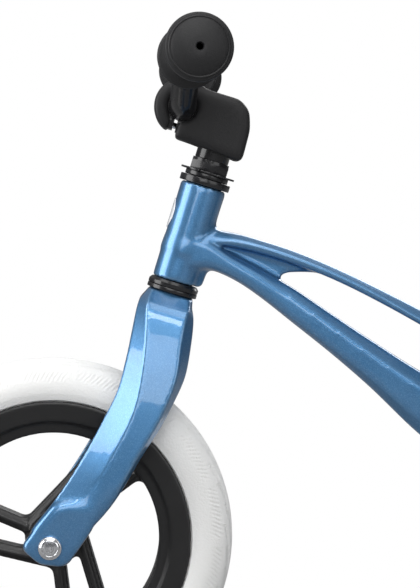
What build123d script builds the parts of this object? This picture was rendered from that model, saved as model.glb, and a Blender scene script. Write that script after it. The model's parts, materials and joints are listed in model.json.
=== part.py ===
"""Child's balance bike with twelve-inch wheels, a cast frame and a cast fork.

The bike stands on the ground plane with its front towards -X, its left side towards -Y and +Z up.
The origin is on the ground, midway between the two axles.  Millimetres.
"""
from build123d import *
import math
import os

# ---- overall sizes ------------------------------------------------------------------------------
WHEEL_RADIUS = 149.0
WHEELBASE = 560.0
HEAD_TILT = 17.0            # of the steering axis, back from upright
HEAD_LENGTH = 83.2
RAKE = 34.3                 # from the steering axis forward to the front axle, square to the axis
CROWN_RISE = 84.1           # from the top of the front tyre to the head tube, along the axis

# ---- running and assembly gaps ------------------------------------------------------------------
BODY_GAP = 0.3              # between faces of parts that move past each other
SHAFT_GAP = 0.05            # radial, shaft in a bore

# ---- wheels -------------------------------------------------------------------------------------
TYRE_WIDTH = 44.0
TYRE_DEPTH = 34.4           # from the rim flange to the tread
RIM_WIDTH = 38.0
RIM_FLANGE = 3.0
RIM_CHANNEL = 9.0           # depth of the groove that holds the tyre
RIM_DEPTH = 27.0            # from the flange to the inner edge
HUB_RADIUS = 20.0
HUB_WIDTH = 62.0
SPOKE_PAIRS = 3
SPOKE_WIDTH = 11.4
SPOKE_THICK = 17.0
LEADING_SPOKE = (2.5, -7.0)    # to the side of the wheel's middle, at the hub and at the rim
TRAILING_SPOKE = (20.0, 28.0)
SPOKE_TAIL = 15.0            # how far a spoke runs on past the hub's middle, into the next pair
SPOKE_RIB = 3.0
RIB_PROUD = 2.5
HUB_WEB_RADIUS = 24.5
GAP_CORNER = 6.5
SLOT_CORNER = 3.0
FRONT_SPOKE_TURN = 42.0
BEARING_RADIUS = 13.0
BEARING_WIDTH = 8.0
AXLE_RADIUS = 5.0
AXLE_THREAD = 3.0
AXLE_BOLT_DEPTH = 18.0
AXLE_HEAD_RADIUS = 9.8
AXLE_HEAD_THICK = 5.5
HUB_SPACE = 92.0            # between the inner faces of the fork tips or the stay tips
TIP_THICK = 14.0            # of a fork tip or stay tip, across the bike

# ---- headset ------------------------------------------------------------------------------------
HEAD_TUBE_RADIUS = 19.2
HEAD_BORE = 15.1
CUP_WALL = 1.5
CUP_RADIUS = 21.2
CUP_HEIGHT = 5.6
STEERER_RADIUS = 12.7
STEERER_BORE = 11.2
RACE_HEIGHT = 2.6
BALL_RADIUS = 2.0
BALL_PITCH = 16.2
BALL_COUNT = 16
CAGE_HALF = 2.25            # half the width of the flat ring that spaces the balls
WASHER_RADIUS = 20.5
WASHER_THICK = 1.6
LOCK_NUT_ACROSS = 31.0
LOCK_NUT_HEIGHT = 9.7

# ---- stem and bar -------------------------------------------------------------------------------
BAR_RADIUS = 11.1
BAR_BORE = 9.3
BAR_HALF_WIDTH = 195.0
BAR_RISE = 36.0
STEM_REACH = 35.7
STEM_HEIGHT = 140.0         # of the clamp above the foot of the head tube, along the axis
QUILL_RADIUS = 11.1
QUILL_LENGTH = 72.0         # of the quill below the lock nut
CLAMP_WALL = 5.5
COVER_HALF_WIDTH = 23.0
GRIP_LENGTH = 110.0
GRIP_RADIUS = 15.5
FLANGE_RADIUS = 25.6
GRIP_HOLE = 2.5
GRIP_END_WALL = 5.0

# ---- frame --------------------------------------------------------------------------------------
SEAT_TUBE_RADIUS = 17.0
SEAT_TUBE_LENGTH = 105.0
SEAT_TILT = 17.0
SEAT_TUBE_GAP = 20.0        # from the foot of the seat tube to the rear tyre, level with the axle
SEAT_FOOT_RISE = 76.0       # of the foot of the seat tube above the axles
POST_RADIUS = 13.6
POST_WALL = 1.8
POST_LENGTH = 101.0
POST_START = 30.0           # of the post's lower end above the foot of the seat tube
STAY_HALF_GAP = 29.0        # from the middle of the bike to a stay, beside the tyre
STAY_THICK = 17.0
STAY_TIP_RADIUS = 20.0

# ---- saddle -------------------------------------------------------------------------------------
SADDLE_LENGTH = 200.0
SADDLE_NOSE = 95.0          # from the top of the post forward to the nose
SADDLE_WIDTH = 124.0
NOSE_WIDTH = 46.0
PAD_THICK = 32.0
PAD_EDGE = 14.0
SHELL_THICK = 5.0
SOCKET_DEPTH = 20.0

os.makedirs("parts", exist_ok=True)


# ---- places worked out from the sizes -----------------------------------------------------------
tilt = math.radians(HEAD_TILT)
FORK_LENGTH = WHEEL_RADIUS + CROWN_RISE
FRONT_AXLE = Vector(-WHEELBASE / 2, 0, WHEEL_RADIUS)
REAR_AXLE = Vector(WHEELBASE / 2, 0, WHEEL_RADIUS)
STEER_UP = Vector(math.sin(tilt), 0, math.cos(tilt))
STEER_BACK = Vector(math.cos(tilt), 0, -math.sin(tilt))
HEAD_FOOT = FRONT_AXLE + STEER_BACK * RAKE + STEER_UP * FORK_LENGTH
STEER_AXIS = Axis(HEAD_FOOT, STEER_UP)

seat_tilt = math.radians(SEAT_TILT)
SEAT_UP = Vector(math.sin(seat_tilt), 0, math.cos(seat_tilt))
SEAT_BACK = Vector(math.cos(seat_tilt), 0, -math.sin(seat_tilt))
SEAT_FOOT = Vector(REAR_AXLE.X - WHEEL_RADIUS - SEAT_TUBE_GAP, 0, WHEEL_RADIUS + SEAT_FOOT_RISE)

CUP_TOP = HEAD_LENGTH + CUP_HEIGHT
TOP_RACE_END = CUP_TOP + BODY_GAP + 4.1
WASHER_END = TOP_RACE_END + WASHER_THICK
LOCK_NUT_END = WASHER_END + LOCK_NUT_HEIGHT
CROWN_TOP = -CUP_HEIGHT - BODY_GAP - RACE_HEIGHT - 0.9
STEERER_TOP = LOCK_NUT_END - 2.5
RIM_RADIUS = WHEEL_RADIUS - TYRE_DEPTH
RIM_INNER = RIM_RADIUS - RIM_DEPTH
TIP_OUTER = HUB_SPACE / 2 + TIP_THICK
CLAMP_AXIS = HEAD_FOOT + STEER_BACK * -STEM_REACH + STEER_UP * STEM_HEIGHT
BAR_END_BACK = 11.6


def steer_point(back, up, across=0.0):
    """A point given by its place behind and along the steering axis."""
    return HEAD_FOOT + STEER_BACK * back + STEER_UP * up + Vector(0, across, 0)


def steer_plane(up):
    """Plane square to the steering axis, with x pointing back and y across."""
    return Plane(origin=steer_point(0, up), x_dir=STEER_BACK, z_dir=STEER_UP)


def steer_side(across=0.0):
    """Side-view plane of the steering parts: x back, y up the axis, facing -Y."""
    return Plane(origin=steer_point(0, 0, across), x_dir=STEER_BACK, z_dir=(0, -1, 0))


def seat_plane(up):
    """Plane square to the seat tube, with x pointing back and y across."""
    return Plane(origin=SEAT_FOOT + SEAT_UP * up, x_dir=SEAT_BACK, z_dir=SEAT_UP)


def axle_section(axle):
    """Half-section plane of a wheel: x is the radius, y across the bike."""
    return Plane(origin=axle, x_dir=(0, 0, 1), z_dir=(-1, 0, 0))


def across_plane(axle, across):
    """Plane square to an axle at a place across the bike: x back, y up, facing -Y."""
    return Plane(origin=axle + Vector(0, across, 0), x_dir=(1, 0, 0), z_dir=(0, -1, 0))


def finish(builder, name):
    """Label one sub-part and write its file."""
    builder.part.label = name
    export_step(builder.part, f"parts/{name}.step")


def ring(name, plane, axis, outline):
    """A turned part: a closed outline of (radius, height) points turned about an axis."""
    with BuildPart() as part:
        with BuildSketch(plane):
            with BuildLine():
                Polyline(*outline, close=True)
            make_face()
        revolve(axis=axis)
    finish(part, name)


# ---- wheels -------------------------------------------------------------------------------------
def make_tyre(name, axle):
    """Foam tyre: a foot in the rim's groove and a round tread."""
    half = TYRE_WIDTH / 2
    foot = RIM_RADIUS - RIM_CHANNEL + SHAFT_GAP
    foot_half = RIM_WIDTH / 2 - RIM_FLANGE * 2 - SHAFT_GAP
    lip_half = RIM_WIDTH / 2 - RIM_FLANGE + 0.5 - SHAFT_GAP
    shoulder = RIM_RADIUS + 6.0
    with BuildPart() as tyre:
        with BuildSketch(axle_section(axle)):
            with BuildLine():
                Polyline((shoulder, -half), (RIM_RADIUS + 1, 2.5 - half), (RIM_RADIUS, -lip_half),
                         (foot, -foot_half), (foot, foot_half), (RIM_RADIUS, lip_half),
                         (RIM_RADIUS + 1, half - 2.5), (shoulder, half))
                ThreePointArc((shoulder, half), (WHEEL_RADIUS - 7.5, half * 0.74), (WHEEL_RADIUS, 0))
                ThreePointArc((WHEEL_RADIUS, 0), (WHEEL_RADIUS - 7.5, -half * 0.74), (shoulder, -half))
            make_face()
        revolve(axis=Axis(axle, (0, 1, 0)))
    finish(tyre, name)


def web_plane(axle, turn, pair):
    """Plane across the wheel's middle, turned so that +X runs out along a pair of spokes."""
    angle = math.radians(turn + pair * 360 / SPOKE_PAIRS)
    return Plane(origin=axle, x_dir=Vector(math.cos(angle), 0, math.sin(angle)), z_dir=(0, -1, 0))


def spoke_lines():
    """Ends of the middle lines of the two spokes of a pair that runs out along +X."""
    reach = RIM_INNER + 3.0
    return [((-SPOKE_TAIL, hub), (reach, rim)) for hub, rim in (LEADING_SPOKE, TRAILING_SPOKE)]


def web_gaps():
    """Openings between the hub, the spokes and the rim, on a plane, each with rounded corners."""
    with BuildSketch(Plane.XY, mode=Mode.PRIVATE) as plan:
        Circle(RIM_INNER)
        Circle(HUB_WEB_RADIUS, mode=Mode.SUBTRACT)
        for pair in range(SPOKE_PAIRS):
            for start, end in spoke_lines():
                with BuildLine(mode=Mode.PRIVATE) as spine:
                    Line(start, end)
                trace(spine.line.rotate(Axis.Z, pair * 360 / SPOKE_PAIRS), line_width=SPOKE_WIDTH,
                      mode=Mode.SUBTRACT)
    gaps = []
    for face in plan.sketch.faces():
        corner = SLOT_CORNER if face.area < math.pi * RIM_INNER ** 2 / 12 else GAP_CORNER
        with BuildSketch(Plane.XY, mode=Mode.PRIVATE) as gap:
            add(face)
            fillet(gap.vertices(), corner)
        gaps.append(gap.sketch)
    return gaps


def make_rim(name, axle, turn):
    """Moulded rim, three pairs of ribbed spokes and the hub, in one piece."""
    half = RIM_WIDTH / 2
    groove = RIM_RADIUS - RIM_CHANNEL
    foot_half = half - RIM_FLANGE * 2
    lip_half = half - RIM_FLANGE + 0.5
    inner_half = half - 5.0
    step = RIM_INNER + RIM_DEPTH * 0.38
    profile = [(RIM_INNER, inner_half), (step - 2, inner_half + 1), (step, half - 1), (RIM_RADIUS, half),
               (RIM_RADIUS, lip_half), (groove, foot_half)]
    profile += [(radius, -across) for radius, across in reversed(profile)]
    with BuildPart() as rim:
        with BuildSketch(web_plane(axle, turn, 0)):
            Circle(RIM_INNER + 3.0)
            for gap in web_gaps():
                add(gap, mode=Mode.SUBTRACT)
        extrude(amount=SPOKE_THICK / 2, both=True)
        for pair in range(SPOKE_PAIRS):
            for start, end in spoke_lines():
                with BuildSketch(web_plane(axle, turn, pair)):
                    with BuildLine():
                        spine = Line(start, end)
                    trace(spine, line_width=SPOKE_RIB)
                extrude(amount=SPOKE_THICK / 2 + RIB_PROUD, both=True)
        with BuildSketch(axle_section(axle)):
            with BuildLine():
                Polyline(*profile, close=True)
            make_face()
        revolve(axis=Axis(axle, (0, 1, 0)))
        with BuildSketch(across_plane(axle, 0)):
            Circle(HUB_RADIUS)
        extrude(amount=HUB_WIDTH / 2, both=True)
        with BuildSketch(across_plane(axle, 0)):
            Circle(BEARING_RADIUS - 2)
        extrude(amount=HUB_WIDTH / 2, both=True, mode=Mode.SUBTRACT)
        for side in (-1, 1):
            with BuildSketch(across_plane(axle, side * HUB_WIDTH / 2)):
                Circle(BEARING_RADIUS)
            extrude(amount=side * BEARING_WIDTH, mode=Mode.SUBTRACT)
    finish(rim, name)


def make_bearings(name, axle):
    """The pair of sealed ball bearings pressed into a hub."""
    with BuildPart() as bearings:
        for side in (-1, 1):
            with BuildSketch(across_plane(axle, side * HUB_WIDTH / 2)):
                Circle(BEARING_RADIUS)
                Circle(AXLE_RADIUS + SHAFT_GAP, mode=Mode.SUBTRACT)
            extrude(amount=side * BEARING_WIDTH)
            with BuildSketch(across_plane(axle, side * HUB_WIDTH / 2)):
                Circle(BEARING_RADIUS - 2)
                Circle(AXLE_RADIUS + 2.5, mode=Mode.SUBTRACT)
            extrude(amount=side * 0.6, mode=Mode.SUBTRACT)
    finish(bearings, name)


def make_hub_sleeve(name, axle):
    """Sleeve that keeps the two bearings apart."""
    with BuildPart() as sleeve:
        with BuildSketch(across_plane(axle, 0)):
            Circle(AXLE_RADIUS + 2.2)
            Circle(AXLE_RADIUS + BODY_GAP, mode=Mode.SUBTRACT)
        extrude(amount=HUB_WIDTH / 2 - BEARING_WIDTH, both=True)
    finish(sleeve, name)


def make_axle(name, axle):
    """Axle sleeve through both tips, threaded at each end."""
    with BuildPart() as shaft:
        with BuildSketch(across_plane(axle, 0)):
            Circle(AXLE_RADIUS)
        extrude(amount=TIP_OUTER, both=True)
        for side in (-1, 1):
            with BuildSketch(across_plane(axle, side * TIP_OUTER)):
                Circle(AXLE_THREAD)
            extrude(amount=side * AXLE_BOLT_DEPTH, mode=Mode.SUBTRACT)
    finish(shaft, name)


def make_axle_bolts(name, axle):
    """The two domed bolts that close an axle."""
    with BuildPart() as bolts:
        for side in (-1, 1):
            section = Plane(origin=axle + Vector(0, side * TIP_OUTER, 0), x_dir=(0, 0, 1), z_dir=(-side, 0, 0))
            rim_height = AXLE_HEAD_THICK * 0.4
            with BuildSketch(section):
                with BuildLine():
                    Polyline((0, 3.0), (0, -AXLE_BOLT_DEPTH + 1), (AXLE_THREAD, -AXLE_BOLT_DEPTH + 1),
                             (AXLE_THREAD, 0), (AXLE_HEAD_RADIUS, 0), (AXLE_HEAD_RADIUS, rim_height))
                    ThreePointArc((AXLE_HEAD_RADIUS, rim_height),
                                  (AXLE_HEAD_RADIUS * 0.72, AXLE_HEAD_THICK * 0.84), (3.2, AXLE_HEAD_THICK))
                    Polyline((3.2, AXLE_HEAD_THICK), (2.6, 3.0), (0, 3.0))
                make_face()
            revolve(axis=Axis(axle, (0, 1, 0)))
    finish(bolts, name)


def make_spacers(name, axle):
    """The two washers between a hub and its tips."""
    inner = HUB_WIDTH / 2 + BODY_GAP
    with BuildPart() as spacers:
        for side in (-1, 1):
            with BuildSketch(across_plane(axle, side * HUB_SPACE / 2)):
                Circle(AXLE_RADIUS + 3)
                Circle(AXLE_RADIUS, mode=Mode.SUBTRACT)
            extrude(amount=side * (HUB_SPACE / 2 - inner))
    finish(spacers, name)


def make_wheel(prefix, axle, turn):
    """All the parts of one wheel and its axle."""
    make_tyre(f"{prefix}_tyre", axle)
    make_rim(f"{prefix}_rim", axle, turn)
    make_bearings(f"{prefix}_bearings", axle)
    make_hub_sleeve(f"{prefix}_hub_sleeve", axle)
    make_axle(f"{prefix}_axle", axle)
    make_axle_bolts(f"{prefix}_axle_bolts", axle)
    make_spacers(f"{prefix}_spacers", axle)


# ---- fork ---------------------------------------------------------------------------------------
LEG_INNER = TYRE_WIDTH / 2 + 6.0
# Rounds that the outline of a fork tip goes round: back from the axle, up from it, and radius.
FORK_TIP = [(-15.8, -0.1, 6.6), (-3.4, -2.5, 12.8), (7.1, -4.9, 11.6), (19.1, 20.8, 16.4), (9.5, 26.4, 10.4)]


def tip_trim(axle):
    """What is taken off a casting at its tips: the axle hole and all that stands proud of the faces."""
    with BuildPart() as trim:
        with BuildSketch(across_plane(axle, 0)):
            Circle(HUB_RADIUS + 12)
        extrude(amount=HUB_SPACE / 2, both=True)
        with BuildSketch(across_plane(axle, 0)):
            Circle(AXLE_RADIUS)
        extrude(amount=TIP_OUTER + 1, both=True)
        for side in (-1, 1):
            with BuildSketch(across_plane(axle, side * (TIP_OUTER + 10))):
                Circle(WHEEL_RADIUS * 0.7)
            extrude(amount=side * 10)
    return trim.part


def leg_stations():
    """Leg sections down the fork.

    Each is its place down the fork as a share of the fork's length, then, behind the steering axis,
    the front edge, the front crease, the rear crease and the rear edge, then the place across of the
    inner face, the outer face, the front edge and the rear edge.
    """
    tip = TIP_OUTER
    inner = HUB_SPACE / 2
    return [
        (0.045, -19.0, -16.0, 16.0, 19.0, -4.0, 18.5, 12.0, 12.0),
        (0.095, -23.8, -16.7, 17.8, 22.8, -4.0, 33.0, 20.0, 22.0),
        (0.170, -23.0, -11.8, 18.7, 27.0, -4.0, 41.0, 26.0, 29.0),
        (0.260, -21.0, -6.7, 22.1, 30.0, -4.0, 46.5, 30.0, 33.0),
        (0.345, -19.6, -3.5, 23.7, 30.0, LEG_INNER - 3, tip - 10.0, LEG_INNER + 5, LEG_INNER + 8),
        (0.420, -19.4, -1.6, 22.0, 27.2, LEG_INNER, tip - 7.5, LEG_INNER + 7, LEG_INNER + 11),
        (0.500, -22.1, -2.0, 18.6, 23.4, LEG_INNER + 3, tip - 5.5, LEG_INNER + 10, LEG_INNER + 14),
        (0.600, -26.6, -5.8, 12.6, 16.5, LEG_INNER + 8, tip - 3.5, LEG_INNER + 15, LEG_INNER + 18),
        (0.715, -32.8, -11.5, 6.5, 9.8, inner - 5, tip - 2.0, inner + 2, inner + 5),
        (0.815, -39.7, -18.0, -0.6, 2.5, inner - 1.5, tip - 1.0, inner + 6, inner + 8),
        (0.905, -47.8, -27.2, -10.0, -7.4, inner, tip, inner + 9, inner + 11),
        (0.965, -53.0, -35.2, -17.7, -15.4, inner, tip, inner + 10, inner + 11),
    ]


def leg_section(station, side):
    """Closed outline of a leg section on its plane."""
    share, front, front_crease, rear_crease, rear, inner, outer, front_edge, rear_edge = station
    points = [(front, inner), (front, front_edge), (front_crease, outer), (rear_crease, outer),
              (rear, rear_edge), (rear, inner)]
    return [(back, across * side) for back, across in points]


def make_fork():
    """Cast fork: the crown, two creased legs, the tyre arch and the axle tips."""
    arch_top = -CROWN_RISE * 0.49
    with BuildPart() as fork:
        for side in (-1, 1):
            for station in leg_stations():
                with BuildSketch(steer_plane(-station[0] * FORK_LENGTH)):
                    with BuildLine():
                        Polyline(*leg_section(station, side), close=True)
                    make_face()
            loft()
        with BuildSketch(steer_plane(CROWN_TOP)):
            Circle(HEAD_TUBE_RADIUS - 0.7)
        extrude(amount=-16)
        arch_plane = Plane(origin=steer_point(0, arch_top - LEG_INNER), x_dir=(0, 1, 0), z_dir=STEER_BACK)
        with BuildSketch(arch_plane):
            Circle(LEG_INNER)
            with Locations((0, -FORK_LENGTH / 2)):
                Rectangle(LEG_INNER * 2, FORK_LENGTH)
        extrude(amount=90, both=True, mode=Mode.SUBTRACT)
        for side in (-1, 1):
            with BuildSketch(Plane(origin=FRONT_AXLE + Vector(0, side * TIP_OUTER, 0), z_dir=(0, -1, 0),
                                   x_dir=(1, 0, 0))):
                for back, up, radius in FORK_TIP:
                    with Locations((back, up)):
                        Circle(radius)
                make_hull()
            extrude(amount=side * TIP_THICK)
        add(tip_trim(FRONT_AXLE), mode=Mode.SUBTRACT)
        with BuildSketch(steer_plane(CROWN_TOP + 1)):
            Circle(STEERER_RADIUS)
        extrude(amount=-40, mode=Mode.SUBTRACT)
    finish(fork, "fork")


# ---- headset and steerer ------------------------------------------------------------------------
def make_headset():
    """Cups in the head tube, races on the steerer, the tabbed washer and the lock nut."""
    side = steer_side()
    bore = HEAD_BORE - CUP_WALL
    pocket = BALL_PITCH + BALL_RADIUS + 0.6
    floor = 1.5
    cone = BALL_PITCH - BALL_RADIUS - 0.6
    ring("lower_headset_cup", side, STEER_AXIS,
         [(bore, 9), (HEAD_BORE, 9), (HEAD_BORE, 0), (HEAD_TUBE_RADIUS, 0), (CUP_RADIUS, -2.4),
          (CUP_RADIUS, -CUP_HEIGHT), (pocket, -CUP_HEIGHT), (pocket, -floor), (bore, -floor)])
    race_top = -CUP_HEIGHT - BODY_GAP
    ring("crown_race", side, STEER_AXIS,
         [(STEERER_RADIUS, race_top + 3), (cone, race_top + 3), (cone, race_top), (CUP_RADIUS, race_top),
          (CUP_RADIUS, CROWN_TOP), (STEERER_RADIUS, CROWN_TOP)])
    ring("upper_headset_cup", side, STEER_AXIS,
         [(bore, HEAD_LENGTH - 9), (HEAD_BORE, HEAD_LENGTH - 9), (HEAD_BORE, HEAD_LENGTH),
          (CUP_RADIUS, HEAD_LENGTH), (CUP_RADIUS, CUP_TOP), (pocket, CUP_TOP),
          (pocket, HEAD_LENGTH + floor), (bore, HEAD_LENGTH + floor)])
    ring("top_race", side, STEER_AXIS,
         [(STEERER_RADIUS, CUP_TOP - 3), (cone, CUP_TOP - 3), (cone, CUP_TOP + BODY_GAP),
          (BALL_PITCH + 2, CUP_TOP + BODY_GAP), (BALL_PITCH + 2, TOP_RACE_END),
          (STEERER_RADIUS, TOP_RACE_END)])
    with BuildPart() as washer:
        with BuildSketch(steer_plane(TOP_RACE_END)):
            Circle(WASHER_RADIUS)
            with PolarLocations(WASHER_RADIUS, 6):
                Rectangle(4.5, 8)
            Circle(STEERER_RADIUS, mode=Mode.SUBTRACT)
        extrude(amount=WASHER_THICK)
    finish(washer, "lock_washer")
    with BuildPart() as nut:
        with BuildSketch(steer_plane(WASHER_END)):
            RegularPolygon(LOCK_NUT_ACROSS / 2, 6, major_radius=False, rotation=30)
            Circle(STEERER_RADIUS, mode=Mode.SUBTRACT)
        extrude(amount=STEERER_TOP - WASHER_END)
        with BuildSketch(steer_plane(STEERER_TOP)):
            Circle(LOCK_NUT_ACROSS / 2)
            Circle(QUILL_RADIUS + BODY_GAP, mode=Mode.SUBTRACT)
        extrude(amount=LOCK_NUT_END - STEERER_TOP)
    finish(nut, "lock_nut")
    with BuildPart() as steerer:
        with BuildSketch(steer_plane(CROWN_TOP - 24)):
            Circle(STEERER_RADIUS)
            Circle(STEERER_BORE, mode=Mode.SUBTRACT)
        extrude(amount=STEERER_TOP - CROWN_TOP + 24)
    finish(steerer, "steerer_tube")
    make_ball_race("lower_ball_race", -floor - BALL_RADIUS - 0.2)
    make_ball_race("upper_ball_race", HEAD_LENGTH + floor + BALL_RADIUS + 0.2)


def make_ball_race(name, up):
    """Loose balls held in a flat cage."""
    plane = steer_plane(up)
    with BuildPart() as race:
        with BuildSketch(plane.offset(BALL_RADIUS * 0.45)):
            Circle(BALL_PITCH + CAGE_HALF)
            Circle(BALL_PITCH - CAGE_HALF, mode=Mode.SUBTRACT)
        extrude(amount=0.6)
        with Locations(plane):
            with PolarLocations(BALL_PITCH, BALL_COUNT):
                Sphere(BALL_RADIUS + SHAFT_GAP, mode=Mode.SUBTRACT)
        with Locations(plane):
            with PolarLocations(BALL_PITCH, BALL_COUNT):
                Sphere(BALL_RADIUS)
    finish(race, name)


# ---- stem, cover and bar ------------------------------------------------------------------------
QUILL_FOOT = LOCK_NUT_END - QUILL_LENGTH
WEDGE_DROP = 16.0
BOLT_UP = STEM_HEIGHT - BAR_RADIUS - 5.4      # of the clamp bolt, along the steering axis
BOLT_FRONT = 9.0             # of the seat of the clamp bolt's head, forward of the bar's middle
BOLT_HEAD_RADIUS = 4.3


def make_stem():
    """Quill, collar, arm and split clamp, in one forging."""
    side = steer_side()
    ring_radius = BAR_RADIUS + CLAMP_WALL
    with BuildPart() as stem:
        with BuildSketch(steer_plane(QUILL_FOOT)):
            Circle(QUILL_RADIUS)
        extrude(amount=LOCK_NUT_END - QUILL_FOOT + 4)
        with BuildSketch(steer_plane(LOCK_NUT_END + BODY_GAP)):
            Circle(14.2)
        extrude(amount=STEM_HEIGHT - LOCK_NUT_END)
        with BuildSketch(side):
            with BuildLine():
                Polyline((-STEM_REACH, STEM_HEIGHT + ring_radius), (6, STEM_HEIGHT + 14), (14, STEM_HEIGHT + 8),
                         (14, LOCK_NUT_END + 8), (-10, LOCK_NUT_END + 10), (-STEM_REACH - 1, BOLT_UP - 5),
                         close=True)
            make_face()
        extrude(amount=14, both=True)
        with BuildSketch(side):
            with Locations((-STEM_REACH, STEM_HEIGHT)):
                Circle(ring_radius)
            with Locations((-STEM_REACH - 5.5, BOLT_UP)):
                Rectangle(7, 8)
        extrude(amount=18, both=True)
        with BuildSketch(side):
            with Locations((-STEM_REACH, STEM_HEIGHT)):
                Circle(BAR_RADIUS + SHAFT_GAP)
            with Locations((-STEM_REACH - 2, BOLT_UP - 2)):
                Rectangle(3, 22)
        extrude(amount=30, both=True, mode=Mode.SUBTRACT)
        with BuildSketch(steer_plane(QUILL_FOOT)):
            Circle(4.2)
        extrude(amount=STEM_HEIGHT + 20 - QUILL_FOOT, mode=Mode.SUBTRACT)
        with BuildSketch(steer_plane(STEM_HEIGHT + 4)):
            Circle(7)
        extrude(amount=30, mode=Mode.SUBTRACT)
        with BuildSketch(Plane(origin=steer_point(-60, BOLT_UP), x_dir=(0, 1, 0), z_dir=STEER_BACK)):
            Circle(2.6)
        extrude(amount=60, mode=Mode.SUBTRACT)
        with BuildSketch(Plane(origin=steer_point(-60, BOLT_UP), x_dir=(0, 1, 0), z_dir=STEER_BACK)):
            Circle(BOLT_HEAD_RADIUS + 0.1)
        extrude(amount=60 - STEM_REACH - BOLT_FRONT, mode=Mode.SUBTRACT)
        with BuildSketch(side):
            with BuildLine():
                Polyline((-20, QUILL_FOOT - 40), (20, QUILL_FOOT - 40), (20, QUILL_FOOT + WEDGE_DROP + 7),
                         (-20, QUILL_FOOT - 7), close=True)
            make_face()
        extrude(amount=20, both=True, mode=Mode.SUBTRACT)
    finish(stem, "stem")
    with BuildPart() as wedge:
        with BuildSketch(steer_plane(QUILL_FOOT - 12)):
            Circle(QUILL_RADIUS - 0.2)
            Circle(4.0, mode=Mode.SUBTRACT)
        extrude(amount=12 + WEDGE_DROP + 7)
        with BuildSketch(side):
            with BuildLine():
                Polyline((-20, QUILL_FOOT - 7), (20, QUILL_FOOT + WEDGE_DROP + 7), (20, QUILL_FOOT + 60),
                         (-20, QUILL_FOOT + 60), close=True)
            make_face()
        extrude(amount=20, both=True, mode=Mode.SUBTRACT)
    finish(wedge, "quill_wedge")
    ring("quill_bolt", side, STEER_AXIS,
         [(0, QUILL_FOOT - 11), (4, QUILL_FOOT - 11), (4, STEM_HEIGHT + 4), (6.5, STEM_HEIGHT + 4),
          (6.5, STEM_HEIGHT + 12), (3, STEM_HEIGHT + 12), (3, STEM_HEIGHT + 8), (0, STEM_HEIGHT + 8)])


def make_clamp_bolt():
    """Bolt that pulls the clamp's lip to the arm, with its head in the lip."""
    front = -STEM_REACH - BOLT_FRONT
    section = Plane(origin=steer_point(front, BOLT_UP), x_dir=STEER_UP, z_dir=(0, 1, 0))
    axis = Axis(steer_point(front, BOLT_UP), STEER_BACK)
    ring("clamp_bolt", section, axis,
         [(0, -1.8), (0, 30), (2.5, 30), (2.5, 0), (BOLT_HEAD_RADIUS, 0), (BOLT_HEAD_RADIUS, -3), (2, -3),
          (2, -1.8)])


COVER_TOP = STEM_HEIGHT + 19.5
COVER_RING_RADIUS = 24.0


def make_stem_cover():
    """Soft hood over the stem and the clamp, open where the clamp splits."""
    side = steer_side()
    ring_radius = BAR_RADIUS + CLAMP_WALL
    back = 23.0
    with BuildPart() as cover:
        with BuildSketch(side):
            with BuildLine():
                Polyline((-STEM_REACH, COVER_TOP), (8, COVER_TOP), (18, STEM_HEIGHT + 13),
                         (back, STEM_HEIGHT - 2), (back + 1, LOCK_NUT_END + 8), (22, LOCK_NUT_END + 5),
                         (-STEM_REACH - 1, LOCK_NUT_END + 9), close=True)
            make_face()
            with Locations((-STEM_REACH, STEM_HEIGHT)):
                Circle(COVER_RING_RADIUS)
        extrude(amount=COVER_HALF_WIDTH, both=True)
        fillet(cover.edges().filter_by(lambda edge: abs(edge.center().Y) > COVER_HALF_WIDTH - 0.1), 3)
        with BuildSketch(side):
            with BuildLine():
                Polyline((-STEM_REACH, STEM_HEIGHT + ring_radius), (6, STEM_HEIGHT + 14), (14.2, STEM_HEIGHT + 8),
                         (14.2, LOCK_NUT_END), (-10, LOCK_NUT_END), (-STEM_REACH - 1, BOLT_UP - 5),
                         close=True)
            make_face()
            with Locations((0, LOCK_NUT_END + 10)):
                Rectangle(28.4, 40)
        extrude(amount=14.2, both=True, mode=Mode.SUBTRACT)
        with BuildSketch(side):
            with Locations((-STEM_REACH, STEM_HEIGHT)):
                Circle(ring_radius)
            with Locations((-STEM_REACH - 5.5, BOLT_UP)):
                Rectangle(7, 8)
        extrude(amount=18, both=True, mode=Mode.SUBTRACT)
        with BuildSketch(side):
            with Locations((-STEM_REACH, STEM_HEIGHT)):
                Circle(BAR_RADIUS + BODY_GAP)
            with Locations((-STEM_REACH - 3, BOLT_UP - 8)):
                Rectangle(6, 30)
        extrude(amount=30, both=True, mode=Mode.SUBTRACT)
        with BuildSketch(Plane(origin=steer_point(-60, BOLT_UP), x_dir=(0, 1, 0), z_dir=STEER_BACK)):
            Circle(4.6)
        extrude(amount=24, mode=Mode.SUBTRACT)
    finish(cover, "stem_cover")


BAR_BEND_IN = 32.0
BAR_BEND_OUT = 72.0
BAR_BEND_BACK = 4.0
BAR_BEND_RADIUS = 27.0


def bar_points():
    """Corners of the bar's line, from the left end to the right end."""
    half = [(0, BAR_BEND_IN, 0), (BAR_BEND_BACK, BAR_BEND_OUT, BAR_RISE),
            (BAR_END_BACK, BAR_HALF_WIDTH, BAR_RISE)]
    right = [CLAMP_AXIS + Vector(*point) for point in half]
    left = [Vector(point.X, -point.Y, point.Z) for point in reversed(right)]
    return left + right


def make_handlebar():
    """Bent tube."""
    points = bar_points()
    start = Plane(origin=points[0], z_dir=points[1] - points[0])
    with BuildPart() as bar:
        with BuildLine():
            FilletPolyline(*points, radius=BAR_BEND_RADIUS)
        with BuildSketch(start):
            Circle(BAR_RADIUS)
            Circle(BAR_BORE, mode=Mode.SUBTRACT)
        sweep()
    finish(bar, "handlebar")


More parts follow.
